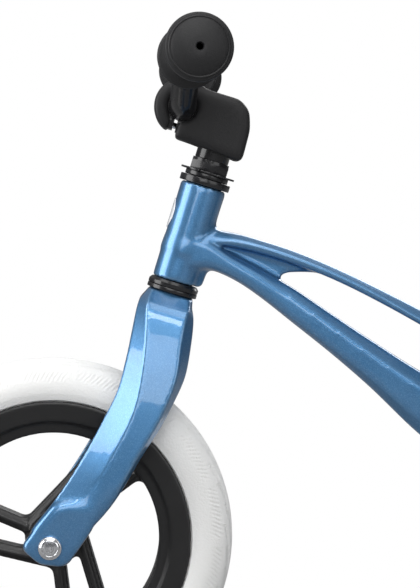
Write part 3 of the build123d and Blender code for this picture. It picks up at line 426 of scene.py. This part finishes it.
def group_node(tree, name, **inputs):
    """Places a node group in a material with its own values."""
    node = tree.nodes.new("ShaderNodeGroup")
    node.node_tree = GROUPS[name]
    for key, value in inputs.items():
        if isinstance(value, bpy.types.NodeSocket):
            tree.links.new(value, node.inputs[key])
        else:
            node.inputs[key].default_value = value
    return node


def make_finish(name, colour, edge_highlight_and_wear, roughness, edges=0.2, dusty=0.04, mottle=0.08, grain=None,
                metallic=0.0, coat=0.0, coat_roughness=0.06, shine=0.5, flake=None):
    """A surface from the shared groups; grain is (scale, pebble, height in metres)."""
    material = bpy.data.materials.new(name)
    material.use_nodes = True
    tree = material.node_tree
    tree.nodes.clear()
    shader = tree.nodes.new("ShaderNodeBsdfPrincipled")
    output = tree.nodes.new("ShaderNodeOutputMaterial")
    tree.links.new(shader.outputs[0], output.inputs["Surface"])
    shader.inputs["Metallic"].default_value = metallic
    shader.inputs["Specular IOR Level"].default_value = shine
    shader.inputs["Coat Weight"].default_value = coat
    shader.inputs["Coat Roughness"].default_value = coat_roughness
    clean = opaque(colour)
    if flake:
        pearl = group_node(tree, "Pearl Flake", Paint=opaque(colour), Flake=opaque(flake[0]),
                           Scale=flake[1], Tilt=flake[2], Amount=flake[3])
        tree.links.new(pearl.outputs["Normal"], shader.inputs["Normal"])
        clean = pearl.outputs["Colour"]
    # edge colour: wear on most finishes, and on the paint a painted highlight along the creases
    wear = group_node(tree, "Edge Wear, Painted Highlight and Dust", Clean=clean, Rubbed=opaque(edge_highlight_and_wear),
                      Roughness=roughness, Edges=edges, Dusty=dusty, Mottle=mottle)
    tree.links.new(wear.outputs["Colour"], shader.inputs["Base Color"])
    tree.links.new(wear.outputs["Roughness"], shader.inputs["Roughness"])
    if grain:
        pores = group_node(tree, "Moulded Grain", Scale=grain[0], Pebble=grain[1])
        bump = add_node(tree, "ShaderNodeBump", Height=pores.outputs["Height"], Distance=grain[2],
                        Strength=1.0)
        tree.links.new(bump.outputs["Normal"], shader.inputs["Normal"])
    MATERIALS[name] = material
    return material


def make_materials(finish):
    """All of the bike's finishes."""
    GROUPS["Pearl Flake"] = make_flake_group()
    GROUPS["Moulded Grain"] = make_grain_group()
    GROUPS["Edge Wear, Painted Highlight and Dust"] = make_wear_group()
    # the light blue edge colour at a strong share is a painted highlight along the frame's and the fork's
    # creases
    make_finish("pearl_blue_paint", finish.paint, (0.42, 0.62, 0.78), 0.34, edges=0.75, dusty=0.03,
                mottle=0.06, metallic=0.72, coat=1.0, coat_roughness=0.05,
                flake=(finish.flake, 2600.0, 0.08, 0.4))
    make_finish("white_foam", finish.foam, (0.9, 0.9, 0.89), 0.62, edges=0.15, dusty=0.1,
                mottle=0.1, grain=(620.0, 0.7, 0.00028), shine=0.3)
    make_finish("satin_nylon", finish.nylon, (0.06, 0.06, 0.064), 0.36, edges=0.35, dusty=0.02,
                mottle=0.12, grain=(1500.0, 0.4, 0.00009), shine=0.5)
    make_finish("soft_rubber", finish.rubber, (0.06, 0.06, 0.064), 0.55, edges=0.3, dusty=0.02,
                mottle=0.12, grain=(1300.0, 0.5, 0.0001), shine=0.35)
    make_finish("black_gloss", (0.005, 0.005, 0.006), (0.1, 0.1, 0.11), 0.26, edges=0.2,
                dusty=0.01, mottle=0.08, coat=0.35, coat_roughness=0.08, shine=0.35,
                grain=(420.0, 0.1, 0.00002))
    make_finish("bright_steel", (0.66, 0.67, 0.69), (0.9, 0.9, 0.92), 0.16, edges=0.3, dusty=0.02,
                mottle=0.14, metallic=1.0, grain=(700.0, 0.1, 0.00002))
    make_finish("white_enamel", (0.78, 0.8, 0.83), (0.92, 0.93, 0.95), 0.16, edges=0.2,
                dusty=0.03, mottle=0.05, coat=1.0, coat_roughness=0.03, grain=(300.0, 0.1, 0.00002))
    make_finish("saddle_hide", finish.saddle, (0.075, 0.072, 0.07), 0.46, edges=0.3, dusty=0.05,
                mottle=0.16, grain=(560.0, 1.1, 0.00030), shine=0.45)


# ---- frame ----------------------------------------------------------------------------------
SEAT_FOOT = Vector((0.111, 0, 0.225))
# share of the way to the seat tube, then lift in mm of the top edge, the crease and the lower edge
UPPER_SPAR = [(0.05, 54, 42.5, 38.5), (0.06, 54.5, 43.5, 39.5), (0.10, 57.5, 48.3, 44.5),
              (0.17, 63.6, 57.2, 51.8), (0.24, 67.8, 62.6, 56.8), (0.34, 72.2, 66.8, 61.2),
              (0.45, 74.4, 69.0, 63.8), (0.56, 74.6, 68.8, 63.4), (0.70, 73.0, 64.8, 60.4),
              (0.84, 70.6, 61.0, 55.5)]
UPPER_EDGES = (0.45, 1.0, 0.86)           # share of the half width at each edge
# share, then lift of the top edge, the upper crease, the lower crease and the lower edge
LOWER_SPAR = [(0.045, 42, 40, 20, 16), (0.06, 44, 42, 22, 18), (0.10, 46.2, 44.6, 27, 23.5),
              (0.17, 44.8, 40.2, 28, 24.6), (0.24, 43.8, 37.6, 24.6, 20.8), (0.34, 41.0, 32.0, 16, 11.6),
              (0.45, 34.6, 24.9, 6.4, 1.2), (0.56, 28.4, 17.6, -3.6, -11.4),
              (0.70, 21.6, 9.0, -18.6, -31), (0.84, 18, 3.4, -25, -42)]
LOWER_EDGES = (0.6, 1.0, 1.0, 0.62)
# share and lift round the web's edge
HEAD_WEB = [(0.04, 40), (0.17, 54), (0.30, 60.5), (0.40, 64.5), (0.468, 67.4), (0.4015, 62.1),
            (0.3643, 57.4), (0.327, 52), (0.3087, 48), (0.303, 44.5), (0.30, 38), (0.17, 34), (0.04, 27)]
WEB_HALF = 0.0045
SPAR_RINGS = 46
HEAD_BORE = 15.1                          # radius, mm
SPAR_END = 0.045                          # how far back the new spars replace the casting's own
JUNCTION_SPOTS = ((22, 56), (24, 14))     # back and up from the head tube's foot, mm


def spar_spot(share, across, lift):
    """A place along the line from the head tube's foot to the seat tube's foot; across and lift in mm."""
    spot = HEAD_FOOT.lerp(SEAT_FOOT, share)
    return Vector((spot.x, across / 1000, spot.z + lift / 1000))


def smooth_value(table, column, share):
    """Value of a column of the table at this share, on a smooth curve through its rows."""
    index = max(i for i, row in enumerate(table[:-1]) if row[0] <= share + 1e-9)
    first, second = table[index], table[index + 1]

    def slope(i):
        low, high = table[max(i - 1, 0)], table[min(i + 1, len(table) - 1)]
        return (high[column] - low[column]) / (high[0] - low[0])

    width = second[0] - first[0]
    t = (share - first[0]) / width
    return ((2 * t ** 3 - 3 * t ** 2 + 1) * first[column] + (t ** 3 - 2 * t ** 2 + t) * width * slope(index)
            + (3 * t ** 2 - 2 * t ** 3) * second[column] + (t ** 3 - t ** 2) * width * slope(index + 1))


def loft_rings(name, rings):
    """A closed solid through rings of points, extruded from each ring to the next."""
    bpy.ops.object.select_all(action="DESELECT")
    bpy.ops.mesh.primitive_circle_add(vertices=len(rings[0]), fill_type="NGON", location=(0, 0, 0))
    piece = bpy.context.object
    piece.name = piece.data.name = name
    for vertex, spot in zip(piece.data.vertices, rings[0]):
        vertex.co = spot
    for before, ring in zip(rings, rings[1:]):
        bpy.ops.object.mode_set(mode="EDIT")
        bpy.ops.mesh.extrude_region()
        bpy.ops.object.mode_set(mode="OBJECT")
        for vertex in piece.data.vertices:
            if vertex.select:
                near = min(range(len(before)), key=lambda i: (vertex.co - before[i]).length)
                vertex.co = ring[near]
    close_up(piece)
    return piece


def upper_half_width(share):
    """Half width of the upper spar, wider where it meets the head tube."""
    return 16.0 + 1.6 * max(0, 1 - abs(share) / 0.2)


def lower_half_width(share):
    """Half width of the lower spar, which spreads towards the seat tube."""
    return 19.0 + 15.0 * max(0.0, share - 0.3) / 0.7


def spar_shell(name, table, half_width, edges):
    """One spar; edges are the parts of its half width at each of its edges from the top down."""
    rings = []
    for step in range(SPAR_RINGS):
        share = table[0][0] + (table[-1][0] - table[0][0]) * step / (SPAR_RINGS - 1)
        half = half_width(share)
        edge = [(half * part, smooth_value(table, column + 1, share)) for column, part in enumerate(edges)]
        outline = edge + [(-across, lift) for across, lift in reversed(edge)]
        rings.append([spar_spot(share, across, lift) for across, lift in outline])
    return loft_rings(name, rings)


def plate(name, outline, half):
    """A flat plate across the bike's middle from an outline of places."""
    near = [Vector((spot.x, -half, spot.z)) for spot in outline]
    far = [Vector((spot.x, half, spot.z)) for spot in outline]
    return loft_rings(name, [near, far])


def behind_head(back, rise):
    """A place back from the steering axis and up from the head tube's foot, in mm."""
    return HEAD_FOOT + (STEER_BACK * back + STEER_UP * rise) / 1000


def make_frame_shell(sizes):
    """The cast frame in one skin, with its spars run softly into the head tube."""
    shell = work_from("frame_shell", "frame")
    cut = [behind_head(24.3, -1), behind_head(24.3, 23), behind_head(20.2, 24), behind_head(20.2, 84),
           Vector((SPAR_END, 0, 0.52)), Vector((SPAR_END, 0, 0.18))]
    room = plate("room", cut, 0.07)
    apply_modifier(shell, "BOOLEAN", operation="DIFFERENCE", solver="EXACT", object=room)
    bpy.data.objects.remove(room)
    upper = spar_shell("upper_spar", UPPER_SPAR, upper_half_width, UPPER_EDGES)
    lower = spar_shell("lower_spar", LOWER_SPAR, lower_half_width, LOWER_EDGES)
    web = plate("head_web", [spar_spot(share, 0, lift) for share, lift in HEAD_WEB], WEB_HALF)
    # keeps the spars' ends out of the head tube's bore
    half_bore = [behind_head(0, -30), behind_head(HEAD_BORE, -30), behind_head(HEAD_BORE, 120),
                 behind_head(0, 120)]
    bore = spin_section("bore", half_bore, HEAD_FOOT, STEER_UP, 64, closed=False)
    for part in (upper, lower, web):
        apply_modifier(part, "BOOLEAN", operation="DIFFERENCE", solver="EXACT", object=bore)
    bpy.data.objects.remove(bore)
    select_only(shell)
    for part in (upper, lower, web):
        part.select_set(True)
    bpy.ops.object.join()
    apply_modifier(shell, "REMESH", mode="VOXEL", voxel_size=sizes.frame_voxel, adaptivity=0.0)
    apply_modifier(shell, "SMOOTH", factor=0.5, iterations=14)
    for back, rise in JUNCTION_SPOTS:
        soften_near(shell, near_spot(behind_head(back, rise), 0.009, 0.012), 45)
    select_only(shell)
    bpy.ops.object.shade_smooth()
    return finish_piece(shell, "frame", "frame", MATERIALS["pearl_blue_paint"])


def tip_edge(points):
    """Strength of softening where the fork's legs run into its tips, on their outer faces."""
    middle = WHEELS["front"] + Vector((0.012, 0, 0.012))
    away = np.hypot(points[:, 0] - middle.x, points[:, 2] - middle.z)
    shoulder = np.clip(1 - np.abs(away - 0.028) / 0.026, 0, 1)
    return shoulder * np.clip((np.abs(points[:, 1]) - 0.054) / 0.004, 0, 1)


EASE_WIDTH = 0.0005
EASED = ("lower_headset_cup", "upper_headset_cup", "crown_race", "top_race", "lock_washer", "lock_nut",
         "stem", "seat_clamp", "clamp_lever", "clamp_nut", "clamp_bolt", "saddle_bolt")


def ease_fitting(node):
    """A copy of a metal fitting with its edges eased."""
    source = frame["nodes"][node]
    material, body = source.data.materials[0], source["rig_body"]
    piece = work_from("eased_" + node, node)
    apply_modifier(piece, "BEVEL", width=EASE_WIDTH, segments=2, limit_method="ANGLE",
                   angle_limit=math.radians(40))
    select_only(piece)
    bpy.ops.object.shade_smooth_by_angle(angle=math.radians(38))
    return finish_piece(piece, body, node, material)


# ---- tyres ----------------------------------------------------------------------------------
SHOULDER = (0.1206, 0.0220)       # radius and half width where the tyre meets the rim's edge
CROWN = (0.1415, 0.01628)
TREAD = 0.1490
BEAD = (0.1147, 0.0163)
FOOT = (0.1075, 0.0125)
SECTION_POINTS = 33               # on half of the outer surface
GROUP_STEPS = 78                  # round one group of grooves
# where each long groove starts in its group, its first and last distance from the tread's middle, half width
LEAVES = ((0.02, 0.0035, 0.0150, 0.0019), (0.36, 0.0062, 0.0172, 0.0015), (0.68, 0.0030, 0.0125, 0.0013))
LEAF_LENGTH = 0.86                # share of a group
NOTCHES = 14                      # in a group
NOTCH_SHARE = 0.84                # of a group, the rest is plain
NOTCH_RADIUS, NOTCH_SWOOP = 0.1355, 0.0025
NOTCH_HALF = 0.0032
NOTCH_TOP = 0.1415
CARVED_FROM = 0.1225              # no grooves on the side below this radius


def arc_through(first, middle, last, count):
    """Points along the circle through three points of a plane."""
    (ax, ay), (bx, by), (cx, cy) = first, middle, last
    turn = 2 * (ax * (by - cy) + bx * (cy - ay) + cx * (ay - by))
    a2, b2, c2 = ax * ax + ay * ay, bx * bx + by * by, cx * cx + cy * cy
    ux = (a2 * (by - cy) + b2 * (cy - ay) + c2 * (ay - by)) / turn
    uy = (a2 * (cx - bx) + b2 * (ax - cx) + c2 * (bx - ax)) / turn
    radius = math.hypot(ax - ux, ay - uy)
    start, end = math.atan2(ay - uy, ax - ux), math.atan2(cy - uy, cx - ux)
    return [(ux + radius * math.cos(start + (end - start) * i / (count - 1)),
             uy + radius * math.sin(start + (end - start) * i / (count - 1))) for i in range(count)]


def tread_depth(turn, span, radius, sizes):
    """Depth of the grooves where turn is round the tyre and span is from its middle line."""
    share = (turn * sizes.groups / math.tau) % 1.0
    depth = np.zeros_like(share)
    for lead, near, far, width in LEAVES:
        run = (share - lead) % 1.0
        along = np.clip(run / LEAF_LENGTH, 0, 1)
        middle = near + (far - near) * along ** 1.7
        half = width * np.sin(np.pi * along) ** 0.7
        inside = np.clip(1.25 - np.abs(span - middle) / np.maximum(half, 1e-5), 0, 1)
        inside = np.where(run < LEAF_LENGTH, inside, 0)
        depth = np.maximum(depth, sizes.groove_depth * inside ** 0.6)
    teeth = (turn * sizes.groups * NOTCHES / math.tau + (radius - 0.137) / 0.0052) % 1.0
    wave = np.clip(np.sin(teeth * math.tau) * 1.6, 0, 1)
    swoop = NOTCH_RADIUS + NOTCH_SWOOP * share
    band = np.clip(1.6 - np.abs(radius - swoop) / NOTCH_HALF, 0, 1)
    gap = np.where(share < NOTCH_SHARE, 1.0, 0.0)
    side = np.where(radius < NOTCH_TOP, 1.0, 0.0)
    notch = sizes.notch_depth * wave * band * gap * side
    return np.maximum(depth, notch)


def make_tyres(sizes):
    """Two foam tyres with their carved tread."""
    middle = WHEELS["front"]
    outer = arc_through(SHOULDER, CROWN, (TREAD, 0.0), SECTION_POINTS)
    half = [BEAD, (0.1157, 0.0196)] + outer
    section = half + [(radius, -across) for radius, across in reversed(half[:-1])]
    section += [(FOOT[0], -FOOT[1]), FOOT]
    points = [middle + Vector((radius, across, 0)) for radius, across in section]
    part = math.tau / sizes.groups
    tyre = spin_section("front_foam_tyre", points, middle, (0, 1, 0), GROUP_STEPS, angle=part)
    turned = bpy.data.objects.new("turned", None)
    bpy.context.collection.objects.link(turned)
    turn = Matrix.Rotation(part, 4, "Y")
    turned.matrix_world = Matrix.Translation(middle) @ turn @ Matrix.Translation(-middle)
    bpy.context.view_layer.update()
    apply_modifier(tyre, "ARRAY", count=sizes.groups, use_relative_offset=False,
                   use_object_offset=True, offset_object=turned)
    bpy.data.objects.remove(turned)
    close_up(tyre, 2e-5)
    spots = points_of(tyre)
    local = spots - np.array(middle)
    radius = np.hypot(local[:, 0], local[:, 2])
    across = np.abs(local[:, 1])
    order = sorted(outer, key=lambda point: point[1])
    walk = [0.0]
    for first, second in zip(order, order[1:]):
        walk.append(walk[-1] + math.dist(first, second))
    span = np.interp(across, [point[1] for point in order], walk)
    turn = np.arctan2(local[:, 2], local[:, 0])
    turn = np.where(local[:, 1] < 0, turn, turn + math.pi / sizes.groups)
    depth = tread_depth(turn % math.tau, span, radius, sizes)
    depth = np.where(radius > CARVED_FROM, depth, 0)
    move_points(tyre, spots - outward(tyre) * depth[:, None])
    select_only(tyre)
    bpy.ops.object.shade_smooth()
    other = tyre.copy()
    other.data = tyre.data.copy()
    other.name = other.data.name = "rear_foam_tyre"
    bpy.context.collection.objects.link(other)
    other.data.transform(Matrix.Translation(WHEELS["rear"] - middle))
    for side, piece in (("front", tyre), ("rear", other)):
        finish_piece(piece, side + "_wheel", side + "_tyre", MATERIALS["white_foam"])


def make_rim(side, sizes):
    """Moulded rim, spokes and hub in one."""
    rim = soften(side + "_moulded_rim", side + "_rim", sizes.rim_voxel, 3, 0.45)
    return finish_piece(rim, side + "_wheel", side + "_rim", MATERIALS["satin_nylon"])


AXLE_CAP = [(0, 5.4), (1.5, 5.4), (1.9, 4.9), (2.9, 4.8), (3.3, 5.25), (5.0, 5.05), (5.3, 4.55),
            (6.1, 4.45), (6.5, 4.75), (7.9, 4.2), (8.2, 3.7), (8.8, 3.3), (9.3, 3.3), (9.75, 2.6),
            (9.8, 0.0), (3.0, 0.0), (3.0, -9.0), (0, -9.0)]   # radius and height, mm


def make_axle_caps(side, body):
    """Domed plated caps of the two axle bolts."""
    node = side + "_axle_bolts"
    low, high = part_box(node)
    caps = []
    for end, face in ((-1, low.y), (1, high.y)):
        seat = Vector((WHEELS[side].x, face, WHEELS[side].z)) + Vector((0, -end * 0.0055, 0))
        points = [seat + Vector((radius, end * height, 0)) / 1000 for radius, height in AXLE_CAP]
        caps.append(spin_section("cap", points, seat, (0, 1, 0), 72, closed=False))
    select_only(caps[0])
    caps[1].select_set(True)
    bpy.ops.object.join()
    caps[0].name = caps[0].data.name = side + "_axle_caps"
    return finish_piece(caps[0], body, node, MATERIALS["bright_steel"])


# ---- grips ----------------------------------------------------------------------------------
def grip_section():
    """Half section of a grip as (distance in from the end wall, radius), mm."""
    section = [(0.0, 2.5), (-1.6, 3.4)]
    for step in range(1, 9):
        share = step / 8
        section.append((-1.8 + 4.6 * share ** 2, 3.6 + 17.4 * share))
    section += [(3.2, 21.4), (2.9, 22.3), (3.3, 23.0), (4.1, 23.3), (4.2, 24.2), (5.2, 25.2),
                (7.0, 25.6), (9.6, 25.6), (11.6, 25.0), (13.2, 22.6), (15.2, 19.6), (17.6, 16.6),
                (19.5, 15.4)]
    reach = 22.0
    while reach < 97.0:
        section += [(reach, 15.5), (reach + 0.7, 14.7), (reach + 1.5, 14.7), (reach + 2.2, 15.5)]
        reach += 4.2
    section += [(99.6, 15.5), (102.0, 16.2), (104.2, 19.0), (105.6, 23.0), (106.2, 24.9), (107.2, 25.6),
                (109.2, 25.6), (110.0, 24.8), (110.2, 12.4), (109.8, 11.25), (5.0, 11.25), (5.0, 2.5)]
    return section


def make_grip(side):
    """Rubber grip with a hand stop at each end, ribs between and a vent hole."""
    mount = MOUNTS[side + "_grip_hole"]
    node = side + "_grip"
    axis = Vector(mount["axis"]).normalized()
    if axis.y * mount["pos_m"][1] < 0:
        axis = -axis
    low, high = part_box(node)
    bar_end = Vector(mount["pos_m"])
    tip = low.y if side == "left" else high.y
    # the end wall's outermost face
    wall = bar_end + axis * ((tip - bar_end.y) / axis.y)
    square = axis.cross(Vector((0, 0, 1))).normalized()
    deepest = min(depth for depth, _ in grip_section())
    points = [wall - axis * (depth - deepest) / 1000 + square * radius / 1000
              for depth, radius in grip_section()]
    grip = spin_section(side + "_ribbed_grip", points, wall, axis, 96)
    select_only(grip)
    bpy.ops.object.shade_smooth_by_angle(angle=math.radians(50))
    return finish_piece(grip, "bars", node, MATERIALS["soft_rubber"])


# ---- saddle ---------------------------------------------------------------------------------
def fill_cushion(piece, most):
    """Swells the pad as stuffed cloth, no further than most."""
    before = points_of(piece)
    select_only(piece)
    cloth = piece.modifiers.new("Cloth", "CLOTH")
    cloth.settings.use_pressure = True
    cloth.settings.uniform_pressure_force = 4.0
    cloth.settings.effector_weights.gravity = 0.0
    scene = bpy.context.scene
    for step in range(1, 21):
        scene.frame_set(step)
    bpy.ops.object.modifier_apply(modifier=cloth.name)
    scene.frame_set(1)
    move = points_of(piece) - before
    length = np.maximum(np.linalg.norm(move, axis=1), 1e-9)
    move *= np.minimum(1.0, most / length)[:, None]
    low = before[:, 2].min()
    rise = np.clip((before[:, 2] - low - 0.003) / 0.010, 0, 1)
    move_points(piece, before + move * rise[:, None])


PAD_VOXEL = 0.004
PAD_SWELL = 0.005                 # most that the stuffing moves the cover
SEAM_LEVEL = 0.30                 # share of the pad's height
SEAM_DEPTH, SEAM_HALF = 0.0014, 0.0011
PUFF_HEIGHT, PUFF_RISE, PUFF_HALF = 0.0005, 0.0034, 0.0016


def make_saddle_pad():
    """Stuffed saddle cover with a sewn line round its side."""
    pad = work_from("saddle_cushion", "saddle_pad")
    low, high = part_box("saddle_pad")
    middle = (low + high) / 2
    spots = points_of(pad)
    spots[:, :2] = np.array(middle)[:2] + (spots[:, :2] - np.array(middle)[:2]) * 0.985
    move_points(pad, spots)
    apply_modifier(pad, "REMESH", mode="VOXEL", voxel_size=PAD_VOXEL, adaptivity=0.0)
    apply_modifier(pad, "SMOOTH", factor=0.5, iterations=4)
    fill_cushion(pad, PAD_SWELL)
    apply_modifier(pad, "SUBSURF", levels=2, render_levels=2)
    spots = points_of(pad)
    way = outward(pad)
    level = low.z + (high.z - low.z) * SEAM_LEVEL
    flat = np.clip(1.0 - np.abs(way[:, 2]), 0, 1)
    seam = np.exp(-((spots[:, 2] - level) / SEAM_HALF) ** 2) * SEAM_DEPTH
    puff = np.exp(-((spots[:, 2] - level - PUFF_RISE) / PUFF_HALF) ** 2) * PUFF_HEIGHT
    move_points(pad, spots - way * ((seam - puff) * flat)[:, None])
    select_only(pad)
    bpy.ops.object.shade_smooth()
    finish_piece(pad, "seat", "saddle_pad", MATERIALS["saddle_hide"])
    return pad


# ---- operators ------------------------------------------------------------------------------
class BIKE_OT_finishes(bpy.types.Operator):
    """Makes the finishes and puts them on the fittings that are shown as they are"""

    bl_idname = "bike.finishes"
    bl_label = "Finishes"

    def execute(self, context):
        make_materials(context.scene.bike_finish)
        kinds = {"black_metal": "black_gloss", "bright_steel": "bright_steel", "badge": "white_enamel",
                 "frame_paint": "pearl_blue_paint", "soft_rubber": "soft_rubber",
                 "tyre_foam": "white_foam", "wheel_plastic": "satin_nylon",
                 "saddle_plastic": "satin_nylon", "saddle_cover": "saddle_hide"}
        for node, piece in frame["nodes"].items():
            slot = piece.data.materials[0].name.split(".")[0] if piece.data.materials else ""
            finish = kinds.get(slot)
            if finish is None:
                raise RuntimeError(f"{node} has no known finish: {slot!r}")
            dress_node(node, MATERIALS[finish])
        return {"FINISHED"}


class BIKE_OT_frame(bpy.types.Operator):
    """Builds the painted frame, the fork and the head badge"""

    bl_idname = "bike.frame"
    bl_label = "Frame and fork"

    def execute(self, context):
        sizes = context.scene.bike_sizes
        paint = MATERIALS["pearl_blue_paint"]
        make_frame_shell(sizes)
        fork = soften("fork_shell", "fork", sizes.fork_voxel, 4)
        soften_near(fork, tip_edge, 110)
        finish_piece(fork, "steering", "fork", paint)
        badge = soften("oval_badge", "head_badge", 0.0006, 8)
        finish_piece(badge, "frame", "head_badge", MATERIALS["white_enamel"])
        return {"FINISHED"}


class BIKE_OT_fittings(bpy.types.Operator):
    """Eases the edges of the metal fittings that show"""

    bl_idname = "bike.fittings"
    bl_label = "Fittings"

    def execute(self, context):
        for node in EASED:
            ease_fitting(node)
        return {"FINISHED"}


class BIKE_OT_wheels(bpy.types.Operator):
    """Builds the foam tyres, the moulded rims and the axle caps"""

    bl_idname = "bike.wheels"
    bl_label = "Wheels"

    def execute(self, context):
        sizes = context.scene.bike_sizes
        make_tyres(sizes)
        for side, body in (("front", "steering"), ("rear", "frame")):
            make_rim(side, sizes)
            make_axle_caps(side, body)
        return {"FINISHED"}


class BIKE_OT_cockpit(bpy.types.Operator):
    """Builds the grips and the hood over the stem"""

    bl_idname = "bike.cockpit"
    bl_label = "Grips and stem hood"

    def execute(self, context):
        hood = soften("stem_hood", "stem_cover", 0.0013, 70)
        finish_piece(hood, "stem", "stem_cover", MATERIALS["soft_rubber"])
        for side in ("left", "right"):
            make_grip(side)
        return {"FINISHED"}


class BIKE_OT_saddle(bpy.types.Operator):
    """Builds the saddle's cushion and its base"""

    bl_idname = "bike.saddle"
    bl_label = "Saddle"

    def execute(self, context):
        make_saddle_pad()
        base = soften("saddle_base", "saddle_shell", 0.0014, 4)
        finish_piece(base, "seat", "saddle_shell", MATERIALS["satin_nylon"])
        return {"FINISHED"}


def add_softbox(name, place, aim, wide, high, power):
    """A large soft light."""
    data = bpy.data.lights.new(name, "AREA")
    data.shape, data.size, data.size_y, data.energy = "RECTANGLE", wide, high, power
    light = bpy.data.objects.new(name, data)
    bpy.context.collection.objects.link(light)
    light.location = place
    light.rotation_euler = (Vector(aim) - Vector(place)).to_track_quat("-Z", "Y").to_euler()
    light.visible_camera = False


class BIKE_OT_stage(bpy.types.Operator):
    """Sets up the floor, the soft light and the camera"""

    bl_idname = "bike.stage"
    bl_label = "Stage"

    def execute(self, context):
        stage = context.scene.bike_stage
        bpy.ops.object.select_all(action="DESELECT")
        bpy.ops.mesh.primitive_plane_add(size=30, location=(0, 0, -0.0005))
        floor = context.object
        floor.name = "floor"
        material = bpy.data.materials.new("studio_floor")
        material.use_nodes = True
        tree = material.node_tree
        shader = tree.nodes["Principled BSDF"]
        shader.inputs["Base Color"].default_value = (0.3, 0.3, 0.3, 1)
        shader.inputs["Roughness"].default_value = 0.9
        shader.inputs["Specular IOR Level"].default_value = 0.1
        pale = tree.nodes.new("ShaderNodeEmission")
        blend = tree.nodes.new("ShaderNodeMixShader")
        ray = tree.nodes.new("ShaderNodeLightPath")
        tree.links.new(ray.outputs["Is Camera Ray"], blend.inputs[0])
        tree.links.new(shader.outputs[0], blend.inputs[1])
        tree.links.new(pale.outputs[0], blend.inputs[2])
        tree.links.new(blend.outputs[0], tree.nodes["Material Output"].inputs["Surface"])
        floor.data.materials.append(material)

        world = bpy.data.worlds.new("studio")
        context.scene.world = world
        world.use_nodes = True
        tree = world.node_tree
        seen = tree.nodes["Background"]
        seen.inputs["Color"].default_value = (1, 1, 1, 1)
        seen.inputs["Strength"].default_value = 1.0
        glow = add_node(tree, "ShaderNodeBackground", Strength=0.42)
        height = add_node(tree, "ShaderNodeSeparateXYZ",
                          Vector=tree.nodes.new("ShaderNodeTexCoord").outputs["Generated"])
        ramp = add_node(tree, "ShaderNodeValToRGB", Fac=height.outputs[2])
        ramp.color_ramp.elements[0].color = (0.22, 0.225, 0.24, 1)
        ramp.color_ramp.elements[1].color = (1.0, 1.0, 1.0, 1)
        tree.links.new(ramp.outputs[0], glow.inputs["Color"])
        pick = tree.nodes.new("ShaderNodeMixShader")
        ray = tree.nodes.new("ShaderNodeLightPath")
        tree.links.new(ray.outputs["Is Camera Ray"], pick.inputs[0])
        tree.links.new(glow.outputs[0], pick.inputs[1])
        tree.links.new(seen.outputs[0], pick.inputs[2])
        tree.links.new(pick.outputs[0], tree.nodes["World Output"].inputs["Surface"])

        add_softbox("front_key", (-2.3, -0.45, 0.95), (-0.1, 0, 0.35), 1.5, 1.9, stage.key)
        add_softbox("overhead", (-0.1, -0.5, 2.3), (-0.05, 0, 0.3), 2.2, 1.6, stage.top)
        add_softbox("beside_camera", (-0.4, -2.6, 1.1), (-0.05, 0, 0.3), 1.6, 1.0, stage.fill)
        add_softbox("right_fill", (1.5, -2.0, 0.8), (0, 0, 0.25), 1.6, 1.4, stage.fill * 0.8)
        add_softbox("high_front", (-0.3, -1.6, 1.75), (-0.15, 0, 0.33), 1.5, 0.35, stage.fill * 0.9)
        add_softbox("behind", (0.9, 2.2, 1.5), (0, 0, 0.3), 1.8, 1.4, stage.top)

        data = bpy.data.cameras.new("view")
        data.lens, data.sensor_width = stage.lens, 36.0
        camera = bpy.data.objects.new("view", data)
        context.collection.objects.link(camera)
        camera.location = stage.camera_at
        way = Vector(stage.look_at) - Vector(stage.camera_at)
        camera.rotation_euler = way.to_track_quat("-Z", "Y").to_euler()
        context.scene.camera = camera
        context.scene.view_settings.view_transform = "Standard"
        return {"FINISHED"}


class BIKE_PT_panel(bpy.types.Panel):
    """Balance bike tools"""

    bl_label = "Balance Bike"
    bl_idname = "BIKE_PT_panel"
    bl_space_type = "VIEW_3D"
    bl_region_type = "UI"
    bl_category = "Balance Bike"

    def draw(self, context):
        for group in (context.scene.bike_finish, context.scene.bike_sizes, context.scene.bike_stage):
            box = self.layout.box()
            for name in group.__annotations__:
                box.prop(group, name)
        for step in STEPS:
            self.layout.operator(step.bl_idname)


STEPS = (BIKE_OT_finishes, BIKE_OT_frame, BIKE_OT_fittings, BIKE_OT_wheels, BIKE_OT_cockpit,
         BIKE_OT_saddle, BIKE_OT_stage)
CLASSES = (BikeFinish, BikeSizes, BikeStage) + STEPS + (BIKE_PT_panel,)


def register():
    """Registers the tools."""
    for cls in CLASSES:
        bpy.utils.register_class(cls)
    bpy.types.Scene.bike_finish = bpy.props.PointerProperty(type=BikeFinish)
    bpy.types.Scene.bike_sizes = bpy.props.PointerProperty(type=BikeSizes)
    bpy.types.Scene.bike_stage = bpy.props.PointerProperty(type=BikeStage)


def unregister():
    """Takes the tools away again."""
    del bpy.types.Scene.bike_stage
    del bpy.types.Scene.bike_sizes
    del bpy.types.Scene.bike_finish
    for cls in reversed(CLASSES):
        bpy.utils.unregister_class(cls)


def main():
    """Builds the whole bike."""
    register()
    bpy.ops.bike.finishes()
    bpy.ops.bike.frame()
    bpy.ops.bike.fittings()
    bpy.ops.bike.wheels()
    bpy.ops.bike.cockpit()
    bpy.ops.bike.saddle()
    bpy.ops.bike.stage()


if __name__ == "__main__":
    main()
